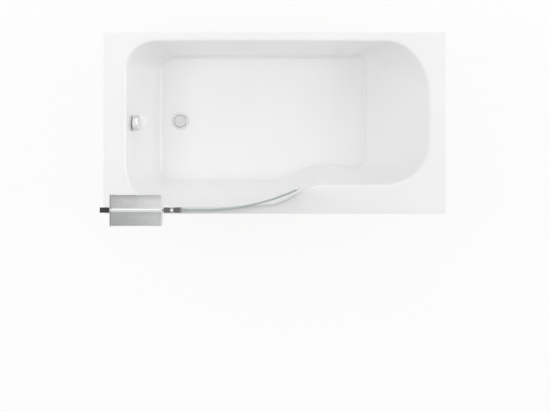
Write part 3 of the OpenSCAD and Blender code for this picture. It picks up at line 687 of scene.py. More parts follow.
def seal_finish(context):
    return finish_of("grey_seal", soft_rubber, settings(context, "shower_screen").seal)


# ---- the shell ----

# the backrest's knee, how its curve is pulled, and where along the bath the side walls ease into it
KICK_RUN = 0.311
KICK_DROP = 0.85
KICK_PULL = (0.16, 0.985)
BACKREST_FROM = 1.250
BACKREST_TO = 1.600

# corner radii along and across the bath, anticlockwise from the front left corner
RIM_CORNERS = ((0.157, 0.215), (0.224, 0.213), (0.214, 0.287), (0.157, 0.137))
KNEE_CORNERS = ((0.083, 0.097), (0.060, 0.060), (0.045, 0.045), (0.083, 0.078))
FLOOR_CORNERS = ((0.060, 0.060), (0.060, 0.060), (0.045, 0.045), (0.060, 0.060))
EDGE_CORNER = 0.012

# the drain: its recess, the boss under it, the hole, and the level disc round it
RECESS_R = 0.042
RECESS_DEPTH = 0.004
RECESS_ROLL = 0.002
RECESS_FILLET = 0.0015
BOSS_R = 0.056
BOSS_DEPTH = 0.003
BOSS_CHAMFER = 0.001
WASTE_HOLE = 0.027
FLAT_R = 0.060

# the turned edge's chamfer, and how much wider than the acrylic the hidden side of the basin is
SKIRT_CHAMFER = 0.0008
HIDDEN_GROW = 0.0005

# how finely the skin is drawn: straight runs, and rings across each part of it
FRONT_RUNS = (12, 10)
RIGHT_RUN = 10
BACK_RUN = 24
LEFT_RUN = 48
UNDER_RINGS = 12
ROUND_RINGS = 4
RIM_RINGS = 4
ROLL_RINGS = 8
WALL_LEVELS = (0.1, 0.2, 0.3, 0.4, 0.45, 0.485, 0.497, 0.503)
CURVE_RINGS = 18
FLOOR_RINGS = 10


class BasinLines:
    """The shell's outlines, as rings of equal length seen from above."""

    def __init__(self, sizes):
        self.sizes = sizes

    def outline(self, low_x, low_y, high_x, high_y, ledge, bend, radii):
        """A round-cornered outline whose front steps from low_y to the ledge through the S bend."""
        steps = self.sizes.smooth
        first = arc(low_x + radii[0][0], low_y + radii[0][1], *radii[0], 180, steps)
        bent = []
        for i in range(2 * steps + 1):
            t = i / (2 * steps)
            bent.append((mix(bend[0], bend[1], t), mix(low_y, ledge, ease(t))))
        second = arc(high_x - radii[1][0], ledge + radii[1][1], *radii[1], 270, steps)
        third = arc(high_x - radii[2][0], high_y - radii[2][1], *radii[2], 0, steps)
        fourth = arc(low_x + radii[3][0], high_y - radii[3][1], *radii[3], 90, steps)
        return (
            first + between(first[-1], bent[0], FRONT_RUNS[0])
            + bent + between(bent[-1], second[0], FRONT_RUNS[1])
            + second + between(second[-1], third[0], RIGHT_RUN)
            + third + between(third[-1], fourth[0], BACK_RUN)
            + fourth + between(fourth[-1], first[0], LEFT_RUN)
        )

    def edge(self, inset):
        s = self.sizes
        corner = (EDGE_CORNER - inset,) * 2
        return self.outline(
            inset, inset, LENGTH - inset, WIDTH - inset, inset, (s.bend_from, s.bend_to), (corner,) * 4
        )

    def rim(self, grow):
        s = self.sizes
        return self.outline(
            s.left - grow, s.front - grow, LENGTH - s.right + grow, WIDTH - s.back + grow,
            s.ledge - grow, (s.bend_from, s.bend_to),
            [(rx + grow, ry + grow) for rx, ry in RIM_CORNERS],
        )

    def inside(self, share, right, grow, corners):
        """An outline part of the way from the rim to the floor's foot."""
        s, by = self.sizes, FLOOR_INSETS
        shift = by["bend"] * share
        return self.outline(
            s.left + by["left"] * share - grow, s.front + by["front"] * share - grow,
            LENGTH - s.right - right + grow, WIDTH - s.back - by["back"] * share + grow,
            s.ledge + by["ledge"] * share - grow, (s.bend_from + shift, s.bend_to + shift),
            [(rx + grow, ry + grow) for rx, ry in corners],
        )

    def knee(self, grow):
        return self.inside(KNEE_RUN, KICK_RUN, grow, KNEE_CORNERS)

    def foot(self, grow):
        return self.inside(1.0, self.sizes.backrest, grow, FLOOR_CORNERS)


class BasinWall:
    """A wall round the basin: straight from the rim to its knee, then a curve into the floor."""

    def __init__(self, lines, grow, top, depth):
        self.rim, self.knee, self.foot = lines.rim(grow), lines.knee(grow), lines.foot(grow)
        self.top, self.depth = top, depth

    def ring(self, u):
        """The ring at a share of the way down: 0 is the rim, 0.5 the knee and 1 the foot."""
        ring = []
        for r, k, f in zip(self.rim, self.knee, self.foot):
            back = ease(min(1.0, max(0.0, (r[0] - BACKREST_FROM) / (BACKREST_TO - BACKREST_FROM))))
            knee_z = mix(KNEE_DROP, KICK_DROP, back)
            if u < 0.5:
                x, y = mix(r[0], k[0], 2 * u), mix(r[1], k[1], 2 * u)
                ring.append(at(x, y, self.top - self.depth * knee_z * 2 * u))
                continue
            t = 2 * u - 1
            point = []
            for i in (0, 1):
                straight_on = r[i] + (k[i] - r[i]) / KNEE_DROP
                pull = mix(straight_on, mix(k[i], f[i], KICK_PULL[0]), back)
                point.append(bezier(k[i], pull, f[i], t))
            drop = bezier(knee_z, mix(1, KICK_PULL[1], back), 1, t)
            ring.append(at(*point, self.top - self.depth * drop))
        return ring


def flat_ring(outline, z):
    return [at(x, y, z) for x, y in outline]


class ShellSkin:
    """Rings from the waste hole under the shell, out and up to the rim, and down the basin to the hole."""

    def __init__(self, sizes):
        self.sizes = sizes
        self.lines = BasinLines(sizes)
        self.foot = self.lines.foot(0)
        self.wall = BasinWall(self.lines, 0, RIM, sizes.depth)
        self.floor_z = RIM - sizes.depth
        self.drain_z = self.floor_z - sizes.fall
        self.skirt_z = RIM - sizes.skirt
        self.roll_u = sizes.roll / sizes.depth / KNEE_DROP / 2

    def round_drain(self, radius, z):
        """The foot's points drawn in to a circle round the drain."""
        ring = []
        for x, y in self.foot:
            away = Vector((x - DRAIN[0], y - DRAIN[1])).normalized() * radius
            ring.append(at(DRAIN[0] + away.x, DRAIN[1] + away.y, z))
        return ring

    def under(self):
        """The resin side, from the waste hole to the foot of the turned edge."""
        wall, lines = self.sizes.wall, self.lines
        under_z, below = self.drain_z - wall, RIM - wall
        boss_z = under_z - BOSS_DEPTH
        hidden = BasinWall(lines, wall + HIDDEN_GROW, below, below - under_z)
        rings = [
            self.round_drain(WASTE_HOLE, boss_z),
            self.round_drain(BOSS_R - BOSS_CHAMFER, boss_z),
            self.round_drain(BOSS_R, boss_z + BOSS_CHAMFER),
            self.round_drain(BOSS_R + BOSS_CHAMFER, under_z),
            flat_ring(hidden.foot, under_z),
        ]
        for i in reversed(range(UNDER_RINGS)):
            rings.append(hidden.ring(mix(self.roll_u, 1, i / UNDER_RINGS)))
        return rings + [
            flat_ring(lines.rim(wall + HIDDEN_GROW + self.sizes.roll / 2), below),
            flat_ring(lines.edge(wall), below),
            flat_ring(lines.edge(wall), self.skirt_z + SKIRT_CHAMFER),
            flat_ring(lines.edge(wall - SKIRT_CHAMFER), self.skirt_z),
        ]

    def rim(self):
        """The turned edge, the level rim and its roll into the basin."""
        edge, lines = self.sizes.edge, self.lines
        rings = [
            flat_ring(lines.edge(SKIRT_CHAMFER), self.skirt_z),
            flat_ring(lines.edge(0), self.skirt_z + SKIRT_CHAMFER),
        ]
        for sine, cosine in quarter_turn(ROUND_RINGS):
            rings.append(flat_ring(lines.edge(edge * (1 - cosine)), RIM - edge * (1 - sine)))
        from_edge, to_roll = flat_ring(lines.edge(edge), RIM), flat_ring(lines.rim(self.sizes.roll), RIM)
        for i in range(1, RIM_RINGS):
            rings.append([a.lerp(b, i / RIM_RINGS) for a, b in zip(from_edge, to_roll)])
        corner, below = flat_ring(lines.rim(0), RIM), self.wall.ring(self.roll_u)
        for i in range(ROLL_RINGS + 1):
            rings.append([bezier(*points, i / ROLL_RINGS) for points in zip(to_roll, corner, below)])
        return rings

    def basin(self):
        """The walls below the roll and the floor, which falls to the level disc round the drain."""
        levels = [*WALL_LEVELS, *(mix(0.5, 1, i / CURVE_RINGS) for i in range(1, CURVE_RINGS))]
        rings = [self.wall.ring(level) for level in levels]
        rings.append(flat_ring(self.foot, self.floor_z))
        flat, disc = flat_ring(self.foot, self.drain_z), self.round_drain(FLAT_R, self.drain_z)
        for i in range(1, FLOOR_RINGS + 1):
            t = i / FLOOR_RINGS
            ring = [a.lerp(b, t) for a, b in zip(flat, disc)]
            for point in ring:
                point.z = mix(self.floor_z, self.drain_z, ease(t))
            rings.append(ring)
        return rings

    def recess(self):
        """The recess round the waste hole, with a rolled upper edge and a filleted lower one."""
        recess_z = self.drain_z - RECESS_DEPTH
        rings = []
        for sine, cosine in quarter_turn(ROUND_RINGS):
            radius = RECESS_R + RECESS_ROLL * (1 - sine)
            rings.append(self.round_drain(radius, self.drain_z - RECESS_ROLL * (1 - cosine)))
        for sine, cosine in quarter_turn(ROUND_RINGS):
            radius = RECESS_R - RECESS_FILLET * (1 - cosine)
            rings.append(self.round_drain(radius, recess_z + RECESS_FILLET * (1 - sine)))
        rings.append(self.round_drain(WASTE_HOLE, recess_z))
        return rings


class SHOWER_OT_shell(Operator):
    """Acrylic shell with its rolled rim, S bend, backrest and drain recess"""

    bl_idname = "shower.shell"
    bl_label = "Bath shell"

    def execute(self, context):
        sizes = settings(context, "shower_shell")
        skin = ShellSkin(sizes)
        under = skin.under()
        top = skin.rim() + skin.basin() + skin.recess()
        finishes = [
            finish_of("white_acrylic", gloss_acrylic, sizes.white),
            finish_of("fibre_resin", fibre_resin, sizes.resin),
        ]
        shape = Shape().loft(under + top, loop=True, paint=band(0, len(under) - 1))
        shape.make("bath_shell_acrylic", "bath", finishes, ["bath_shell"], "acrylic", sharp=50)
        return {"FINISHED"}


# ---- board, battens, rails and feet ----

FEET = ("front_left", "front_right", "back_left", "back_right")
ROD_R = 0.006
ROD_IN_PAD = 0.016
ROD_TIP = 0.0015
THREAD_SIDES = 18
THREAD_ROWS = 5
NUT_APOTHEM = 0.0095
NUT_H = 0.009
NUT_SIDES = 72
NUT_ROUND = 0.0003
PAD_H = 0.007
PAD_SIDES = 64
HUB_R = 0.0125
RAIL_WALL = 0.002

# where the screws go: along the rails, and in the wall clips
RAIL_SCREWS_Y = (0.280, 0.440, 0.680)
CLIP_SCREWS_X = (0.300, 1.400)
CLIP_SCREWS_BACK = 0.018
CLIP_SCREWS_DOWN = 0.026

# screw sizes: radius and height of the head, radius and length of the shank
RAIL_SCREW = (0.004, 0.002, 0.002, 0.012)
CLIP_SCREW = (0.004, 0.002, 0.002, 0.014)
PROFILE_SCREW = (0.0035, 0.002, 0.002, 0.0042)
HINGE_SCREW = (0.0032, 0.0012, 0.0015, 0.003)
RACK_SCREW = (0.0035, 0.002, 0.002, 0.006)


def pan_head(shape, place, size):
    """A pan-headed screw with a cross recess; its head stands on local Z = 0, its shank goes below."""
    head_r, head_h, shank_r, shank_l = size
    dome = []
    for angle in (0, 25, 50, 68):
        a = math.radians(angle)
        dome.append((head_r * math.cos(a), head_h * (0.35 + 0.65 * math.sin(a))))
    top = dome[-1][1]
    recess_r, recess_z = head_r * 0.30, top - head_h * 0.65
    profile = [
        (0, -shank_l), (shank_r, shank_r - shank_l), (shank_r, 0),
        (head_r * 0.96, 0), (head_r, head_h * 0.12), *dome,
        (recess_r, top), (recess_r * 0.7, recess_z), (0, recess_z),
    ]

    def crossed(turn, radius, _):
        if radius > recess_r * 1.01:
            return radius
        return radius * (0.62 + 0.75 * abs(math.cos(2 * turn)) ** 3)

    shape.lathe(place, profile, 32, crossed)


def hex_nut(shape, place):
    """A hexagon nut whose corners are turned off by a cone at both faces."""
    bore = ROD_R + 0.0001
    rows = [[] for _ in range(6)]
    for i in range(NUT_SIDES):
        turn = 2 * math.pi * i / NUT_SIDES
        within = (turn + math.pi / 6) % (math.pi / 3) - math.pi / 6
        corner = NUT_APOTHEM / math.cos(within)
        cut = (corner - NUT_APOTHEM) * 0.55 + 0.0002
        section = (
            (bore, 0), (NUT_APOTHEM - NUT_ROUND, 0), (corner, cut),
            (corner, NUT_H - cut), (NUT_APOTHEM - NUT_ROUND, NUT_H), (bore, NUT_H),
        )
        for row, (radius, height) in zip(rows, section):
            row.append(place @ Vector((radius * math.cos(turn), radius * math.sin(turn), height)))
    shape.loft(rows, loop=True)


class SHOWER_OT_leg_frame(Operator):
    """Chipboard base, softwood battens, zinc-plated leg rails and wall clips"""

    bl_idname = "shower.leg_frame"
    bl_label = "Board, battens and rails"

    def execute(self, context):
        look = settings(context, "shower_frame")
        timber = finish_of("softwood_long", softwood, look.timber)
        soften("front_batten", timber, 0.0008)
        soften("back_batten", timber, 0.0008)
        soften("end_battens", finish_of("softwood_cross", softwood, look.timber, (1, 0.06, 1)), 0.0008)
        soften("base_board", finish_of("chipboard", chipboard, look.board), 0.0006)
        for node in ("leg_rail_left", "leg_rail_right", "wall_clips"):
            soften(node, zinc_finish(context), 0.0005)
        self.screws(zinc_finish(context))
        return {"FINISHED"}

    @staticmethod
    def screws(zinc):
        shape = Shape()
        for rail in ("leg_rail_left", "leg_rail_right"):
            x, z = middle_of(rail).x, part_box(rail)[1].z - RAIL_WALL
            for y in RAIL_SCREWS_Y:
                pan_head(shape, frame_at(Vector((x, CORNER.y + y, z)), (0, 0, -1)), RAIL_SCREW)
        for x in CLIP_SCREWS_X:
            place = frame_at(at(x, WIDTH - CLIP_SCREWS_BACK, RIM - CLIP_SCREWS_DOWN), (0, 0, -1))
            pan_head(shape, place, CLIP_SCREW)
        shape.make("frame_screws_cross_head", "bath", [zinc], ["frame_screws"], "zinc_steel")


class SHOWER_OT_feet(Operator):
    """Threaded foot rods, chamfered lock nuts and ribbed foot pads"""

    bl_idname = "shower.feet"
    bl_label = "Feet"

    def execute(self, context):
        look = settings(context, "shower_frame")
        for corner in FEET:
            self.rod(corner, look, zinc_finish(context))
            self.pad(corner, look, black_finish(context))
        self.nuts(zinc_finish(context))
        return {"FINISHED"}

    @staticmethod
    def rod(corner, look, zinc):
        node = "foot_rod_" + corner
        low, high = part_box(node)
        centre = middle_of(node)
        place = Matrix.Translation(Vector((centre.x, centre.y, 0)))
        z_from, z_to = low.z + ROD_IN_PAD, high.z - ROD_TIP
        rows = int((z_to - z_from) / look.pitch * THREAD_ROWS)

        def threaded(turn, radius, z):
            phase = (z / look.pitch - turn / (2 * math.pi)) % 1.0
            return radius - look.thread * abs(2 * phase - 1)

        plain = [(ROD_R - 0.0006, low.z), (ROD_R - look.thread, z_from)]
        thread = [(ROD_R, mix(z_from, z_to, k / rows)) for k in range(rows + 1)]
        rings = (
            turned(place, plain, THREAD_SIDES) + turned(place, thread, THREAD_SIDES, threaded)
            + turned(place, [(ROD_R - ROD_TIP, high.z)], THREAD_SIDES)
        )
        Shape().loft(rings).make("foot_thread_" + corner, "foot_" + corner, [zinc], [node], "zinc_steel", 60)

    @staticmethod
    def pad(corner, look, black):
        node = "foot_pad_" + corner
        low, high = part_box(node)
        centre = middle_of(node)
        outer = (high.x - low.x) / 2
        place = Matrix.Translation(Vector((centre.x, centre.y, 0)))
        profile = [
            (0, 0.0008), (outer * 0.55, 0.0008), (outer * 0.6, 0), (outer - 0.0015, 0), (outer, 0.0015),
            (outer, PAD_H - 0.002), (outer - 0.0006, PAD_H - 0.0006), (outer - 0.002, PAD_H),
            (HUB_R + 0.002, PAD_H), (HUB_R + 0.0006, PAD_H + 0.0006), (HUB_R, PAD_H + 0.002),
            (HUB_R, high.z - 0.0015), (HUB_R - 0.0012, high.z), (ROD_R + 0.0003, high.z),
            (ROD_R, high.z - 0.001), (ROD_R, 0.014), (0, 0.014),
        ]
        shape = Shape().lathe(place, profile, PAD_SIDES)
        side = [
            (HUB_R - 0.001, PAD_H - 0.001), (outer - 0.003, PAD_H - 0.001),
            (outer - 0.004, PAD_H + 0.001), (HUB_R - 0.001, high.z - 0.005),
        ]
        for i in range(look.ribs):
            spin = place @ Matrix.Rotation(2 * math.pi * i / look.ribs, 4, "Z")
            shape.loft([[spin @ Vector((r, y, z)) for r, z in side] for y in (-0.001, 0.001)])
        shape.make("foot_ribbed_" + corner, "foot_" + corner, [black], [node], "black_plastic")

    @staticmethod
    def nuts(zinc):
        low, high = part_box("lock_nuts")
        shape = Shape()
        for corner in FEET:
            centre = middle_of("foot_rod_" + corner)
            for z in (low.z, high.z - NUT_H):
                hex_nut(shape, Matrix.Translation(Vector((centre.x, centre.y, z))))
        shape.make("lock_nuts_chamfered", "bath", [zinc], ["lock_nuts"], "zinc_steel", 20)


# ---- waste, overflow and trap ----

CABLE_R = 0.0025
CABLE_STEPS = 6
TURN_STEPS = 120
THREAD_BORE = 0.0252
PIPE_BORE = 0.0203
BORE_ROUND = 0.0004
KNOB_R = 0.038
KNOB_STEM_R = 0.006


class SHOWER_OT_control_cable(Operator):
    """Sheathed control cable from the overflow knob down to the waste body"""

    bl_idname = "shower.control_cable"
    bl_label = "Control cable"

    def execute(self, context):
        low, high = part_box("control_cable")
        x0, x1 = low.x - CORNER.x + CABLE_R, high.x - CORNER.x
        route = [
            (x0, 0.476, high.z), (x0, 0.476, 0.420), (x0, 0.478, 0.330), (x0, 0.480, 0.240),
            (x0 + 0.006, 0.481, 0.180), (x0 + 0.026, 0.482, 0.146), (x0 + 0.062, 0.484, 0.1355),
            (x0 + 0.120, 0.486, 0.1345), (x1 - 0.050, 0.488, 0.1345), (x1, 0.488, 0.1345),
        ]
        points = smooth_line([at(*p) for p in route], CABLE_STEPS)
        line = bpy.data.curves.new("control_cable_sheath", "CURVE")
        line.dimensions = "3D"
        line.bevel_depth = CABLE_R
        line.bevel_resolution = 5
        line.use_fill_caps = True
        spline = line.splines.new("POLY")
        spline.points.add(len(points) - 1)
        for knot, p in zip(spline.points, points):
            knot.co = (*p, 1)
        sheath = finish_of("cable_sheath", moulded, settings(context, "shower_waste").cable, 0.5)
        line.materials.append(sheath)
        cable = bpy.data.objects.new("control_cable_sheath", line)
        context.scene.collection.objects.link(cable)
        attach(cable, "bath")
        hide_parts("control_cable")
        run = sum((b - a).length for a, b in zip(points, points[1:]))
        tuple(points[0])
        return {"FINISHED"}


def smooth_line(route, steps):
    """Points of a smooth line through a route."""
    line = []
    last = len(route) - 1
    for i in range(last):
        a, b, c, d = route[max(0, i - 1)], route[i], route[i + 1], route[min(last, i + 2)]
        for s in range(steps):
            t = s / steps
            line.append(0.5 * (
                2 * b + (c - a) * t + (2 * a - 5 * b + 4 * c - d) * t * t
                + (3 * b - a - 3 * c + d) * t ** 3
            ))
    return line + [route[last]]


class SHOWER_OT_waste(Operator):
    """Waste flange, satin plug and its seals, waste body and trap with ribbed nuts"""

    bl_idname = "shower.waste"
    bl_label = "Waste and trap"

    def execute(self, context):
        look = settings(context, "shower_waste")
        white = white_finish(context)
        soften("waste_flange", finish_of("bright_satin", brushed, look.flange, ALL_WAYS, 0.32), 0.0007)
        for node in ("waste_flange_seal", "plug_seal", "waste_body_seal", "trap_outlet_seal"):
            soften(node, rubber_finish(context), 0.0002)
        soften("waste_body", white, 0.0008)
        soften("trap_body", white, 0.0008)
        self.plug(look)
        self.nut("trap_inlet_nut", (0, 0, 1), 0.004, look, white)
        self.nut("trap_outlet_nut", (0, 1, 0), 0.003, look, white)
        return {"FINISHED"}

    @staticmethod
    def plug(look):
        low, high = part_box("waste_plug")
        centre = middle_of("waste_plug")
        radius = (high.x - low.x) / 2
        top, under = high.z, high.z - 0.0024
        place = Matrix.Translation(Vector((centre.x, centre.y, 0)))
        stem = [(0, low.z), (0.0034, low.z), (0.004, low.z + 0.0006), (0.004, under)]
        edge = [
            (radius - 0.0008, under), (radius, under + 0.0008), (radius, top - 0.0014),
            (radius - 0.0005, top - 0.0008), (radius - 0.0016, top - 0.0003),
        ]
        dish = [
            (radius - 0.004, top), (radius * 0.6, top - 0.0003),
            (radius * 0.3, top - 0.0006), (0, top - 0.0007),
        ]
        # the plug's outer edge takes a dark finish: painted shade for the shadow in the gap round the plug
        finishes = [
            finish_of("satin_chrome", brushed, look.satin, ALL_WAYS, 0.32),
            finish_of("plug_rim", polished, look.rim, 0.2),
        ]
        painted_shade_band = band(len(stem), len(stem) + len(edge))
        shape = Shape().lathe(place, stem + edge + dish, 96, paint=painted_shade_band)
        shape.make("waste_plug_dished", "plug", finishes, ["waste_plug"], "satin_chrome", 28)

    @staticmethod
    def nut(node, axis, lip, look, white):
        """A nut that turns about its axis, ribbed outside, with the pipe's lip at its far end."""
        low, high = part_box(node)
        way = Vector(axis)
        tall = (high - low).dot(way)
        outer = (high.x - low.x) / 2
        place = frame_at(middle_of(node) - way * tall / 2, way)

        def ribbed(turn, radius, _):
            if radius < outer - 0.006:
                return radius
            return radius - 0.0022 * (0.5 - 0.5 * math.cos(look.grips * turn)) ** 0.7

        profile = [
            (THREAD_BORE, BORE_ROUND), (THREAD_BORE + BORE_ROUND, 0), (outer - 0.0045, 0),
            (outer - 0.002, 0.002), (outer - 0.0008, 0.004), (outer - 0.0006, tall - 0.003),
            (outer - 0.002, tall - 0.001), (outer - 0.0055, tall), (PIPE_BORE + BORE_ROUND, tall),
            (PIPE_BORE, tall - BORE_ROUND), (PIPE_BORE, tall - lip), (THREAD_BORE, tall - lip),
        ]
        shape = Shape().loft(turned(place, profile, TURN_STEPS, ribbed), loop=True)
        shape.make(node + "_ribbed", "bath", [white], [node], "white_plastic", 30)


class SHOWER_OT_overflow(Operator):
    """Overflow face, round knob, elbow, pipe and seal"""

    bl_idname = "shower.overflow"
    bl_label = "Overflow"

    def execute(self, context):
        look = settings(context, "shower_waste")
        soft_chrome = finish_of("soft_chrome", polished, look.knob, 0.34)
        white = white_finish(context)
        soften("overflow_face", soft_chrome, 0.0012, 3)
        soften("overflow_seal", rubber_finish(context), 0.0002)
        soften("overflow_elbow", white, 0.0008)
        soften("overflow_pipe", white, 0)
        self.knob(soft_chrome, white)
        return {"FINISHED"}

    @staticmethod
    def knob(soft_chrome, white):
        """A chromed cap, white where its underside meets the stem: moulded plastic, also painted light in the
        shaded gap behind the cap.
        """
        place = frame_at(at(*OVERFLOW), OVERFLOW_AXIS)
        stem = [(0, -0.024), (KNOB_STEM_R - 0.0005, -0.024), (KNOB_STEM_R, -0.0235)]
        underside = [(KNOB_STEM_R, 0.0121), (KNOB_R - 0.008, 0.0121)]
        cap = [
            (KNOB_R - 0.004, 0.0126), (KNOB_R - 0.0015, 0.0140), (KNOB_R - 0.0004, 0.0165), (KNOB_R, 0.0195),
            (KNOB_R, 0.0300), (KNOB_R - 0.0004, 0.0345), (KNOB_R - 0.0016, 0.0378), (KNOB_R - 0.0035, 0.0400),
            (KNOB_R - 0.006, 0.0413), (KNOB_R - 0.009, 0.0419), (KNOB_R - 0.013, 0.0420),
            (KNOB_R - 0.018, 0.0417), (KNOB_R - 0.026, 0.0412), (0, 0.0408),
        ]
        # the white underside is moulded plastic and also painted light, lifting the shade in the gap against
        # the face plate
        plastic_and_painted_light_band = band(len(stem), len(stem) + len(underside))
        shape = Shape().lathe(place, stem + underside + cap, TURN_STEPS, paint=plastic_and_painted_light_band)
        shape.make("overflow_knob_turned", "knob", [soft_chrome, white], ["overflow_knob"], "chrome", 40)


# ---- screen ----

PANE_STEP = 0.015
SEAL_STEP = 0.012
PROFILE_SCREWS_X = 0.024
PROFILE_SCREWS_IN = 0.013

# clear plastics: tint, sheen, least share of the skin, and roughness
SEAL_LOOK = ((0.80, 0.82, 0.82), (0.78, 0.80, 0.80), 0.38, 0.2)
CLAMP_LOOK = ((0.86, 0.88, 0.88), (0.82, 0.84, 0.84), 0.26, 0.08)


class SHOWER_OT_wall_panel(Operator):
    """Wall and adjusting profiles, glazing gasket, fixed pane, bottom rail and pivot post"""

    bl_idname = "shower.wall_panel"
    bl_label = "Fixed panel"

    def execute(self, context):
        look = settings(context, "shower_screen")
        satin = finish_of("satin_aluminium", brushed, look.aluminium, UPRIGHT, 0.34)
        soften("wall_profile", satin, 0.0003)
        soften("adjusting_profile", satin, 0.0003)
        soften("glazing_gasket", seal_finish(context), 0.0003)
        soften("profile_cap", black_finish(context), 0.0008)
        soften("fixed_bottom_rail", finish_of("white_powder", powder_coat, look.rail), 0.0012, 3)
        soften("post_profile", finish_of("grey_post", brushed, look.post, UPRIGHT, 0.36), 0.0006)
        shape = Shape()
        for z in (RIM + 0.080, RIM + 0.750, GLASS_TOP - 0.080):
            place = frame_at(at(PROFILE_SCREWS_X, GLASS_Y + PROFILE_SCREWS_IN, z), (0, 1, 0))
            pan_head(shape, place, PROFILE_SCREW)
        zinc = zinc_finish(context)
        shape.make("profile_screws_cross_head", "bath", [zinc], ["profile_screws"], "zinc_steel")
        pane("fixed_glass", "fixed_pane", "bath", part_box("fixed_glass")[1].x - CORNER.x, look)
        return {"FINISHED"}


def pane(node, name, body, end, look):
    """A glass pane along the line of the screen up to an end, with ground edges."""
    low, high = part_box(node)
    start = low.x - CORNER.x
    half, cut = look.glass / 2, look.arris
    faces = finish_of("screen_glass", clear_sheet, look.tint, look.sheen)
    edges = finish_of("glass_edge", glass_edge, look.rim_green)

    def section(s, inset):
        low_z, high_z = low.z + inset, high.z - inset
        wide = half - inset
        corners = [
            (-wide, low_z + cut), (-wide + cut, low_z), (wide - cut, low_z), (wide, low_z + cut),
            (wide, high_z - cut), (wide - cut, high_z), (-wide + cut, high_z), (-wide, high_z - cut),
        ]
        return [at(*along_glass(s, offset), z) for offset, z in corners]

    steps = max(2, int((end - start) / PANE_STEP))
    rings = [section(mix(start + cut, end - cut, i / steps), 0) for i in range(steps + 1)]
    rings = [section(start, cut)] + rings + [section(end, cut)]
    broad_sides = (3, 7)

    def tone(k, i):
        return 0 if 0 < k <= steps and i in broad_sides else 1

    Shape().loft(rings, paint=tone).make(name, body, [faces, edges], [node], "screen_glass", 30)


class SHOWER_OT_hinges(Operator):
    """Top and bottom pivot hinges with their pins and clamp screws"""

    bl_idname = "shower.hinges"
    bl_label = "Hinges"

    def execute(self, context):
        look = settings(context, "shower_screen")
        dark = finish_of("dark_chrome", polished, look.hinge, 0.16)
        bright = finish_of("bright_chrome", polished, settings(context, "shower_waste").chrome)
        grey = finish_of("grey_chrome", polished, look.pivot, 0.16)
        for half in ("_hinge_fixed", "_hinge_swing"):
            soften("top" + half, dark, 0.0012, 3)
            soften("low" + half, grey, 0.0012, 3)
        soften("top_hinge_pin", bright, 0.0008)
        self.screws("fixed", "bath", bright)
        self.screws("swing", "screen", bright)
        return {"FINISHED"}

    @staticmethod
    def screws(half, body, bright):
        """Two clamp screws on each face of one half of the top hinge."""
        low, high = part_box("top_hinge_" + half)
        x = low.x + 0.012 if half == "fixed" else high.x - 0.014
        shape = Shape()
        for z in (low.z + 0.014, high.z - 0.014):
            for y, way in ((low.y + 0.0003, -1), (high.y - 0.0003, 1)):
                pan_head(shape, frame_at(Vector((x, y, z)), (0, way, 0)), HINGE_SCREW)
        shape.make("top_hinge_screws_" + half, body, [bright], [], "zinc_steel")


class SHOWER_OT_swing_panel(Operator):
    """Curved swing pane, edge seal, dark bottom strip, drip seal and clear splash deflector"""

    bl_idname = "shower.swing_panel"
    bl_label = "Swing panel"

    def execute(self, context):
        look = settings(context, "shower_screen")
        end = PIVOT_X + look.swing
        pane("swing_glass", "swing_pane", "screen", end, look)
        soften("swing_edge_seal", seal_finish(context), 0.0006)
        soften("swing_bottom_strip", finish_of("dark_strip", brushed, look.strip, ALL_WAYS, 0.36), 0.0004)
        self.drip_seal(end)
        self.deflector(end)
        return {"FINISHED"}

    @staticmethod
    def drip_seal(end):
        """A translucent seal of two soft fins that reach down to the rim, less tall towards the free end."""
        clear = finish_of("clear_seal", clear_sheet, *SEAL_LOOK)
        low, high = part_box("drip_seal")
        shape = Shape()
        start, wide = PIVOT_X + 0.044, PIVOT_X + 0.450
        for first, last, top in ((start, wide, high.z), (wide, end, high.z - 0.008)):
            foot, waist = low.z, (top + low.z) / 2
            for side in (-1, 1):
                fin = [
                    (side * 0.0002, top), (side * 0.0024, top), (side * 0.0018, waist),
                    (side * 0.0024, foot + 0.0006), (side * 0.0018, foot), (side * 0.0008, waist),
                ]
                steps = int((last - first) / SEAL_STEP)
                rings = []
                for i in range(steps + 1):
                    s = mix(first, last, i / steps)
                    rings.append([at(*along_glass(s, offset), z) for offset, z in fin])
                shape.loft(rings)
        shape.make("drip_seal_fins", "screen", [clear], ["drip_seal"], "clear_seal", 40)

    @staticmethod
    def deflector(end):
        """A clear clamp on the glass edge and a fin beyond it with round corners."""
        clear = finish_of("clear_moulding", clear_sheet, *CLAMP_LOOK)
        low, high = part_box("splash_deflector")
        shape = Shape()
        back, front, slot, half = end - 0.014, end + 0.004, 0.0031, 0.005
        clamp = [
            (back, -0.0046), (back + 0.0006, -half), (front - 0.002, -half), (front, -0.0035),
            (front, 0.0035), (front - 0.002, half), (back + 0.0006, half), (back, 0.0046),
            (back, slot), (end + 0.0002, slot), (end + 0.0002, -slot), (back, -slot),
        ]
        shape.loft([[at(*along_glass(s, offset), z) for s, offset in clamp] for z in (low.z, high.z)])
        outer = end + 0.022
        fin = (
            arc(outer - 0.016, low.z + 0.018, 0.016, 0.018, 270, 10)
            + arc(outer - 0.012, high.z - 0.012, 0.012, 0.012, 0, 8)
        )
        fin = [(end + 0.003, low.z)] + fin + [(end + 0.003, high.z)]
        middle = (sum(p[0] for p in fin) / len(fin), sum(p[1] for p in fin) / len(fin))
        rings = []
        for offset, inset in ((-0.0016, 0.0006), (-0.001, 0), (0.001, 0), (0.0016, 0.0006)):
            ring = []
            for s, z in fin:
                s = s - inset * math.copysign(1, s - middle[0])
                z = z - inset * math.copysign(1, z - middle[1])
                ring.append(at(*along_glass(s, offset), z))
            rings.append(ring)
        shape.loft(rings)
        shape.make("splash_deflector_fin", "screen", [clear], ["splash_deflector"], "clear_plastic", 30)


# ---- storage rack ----

TRAYS = ("upper_tray_outer", "upper_tray_inner", "lower_tray")


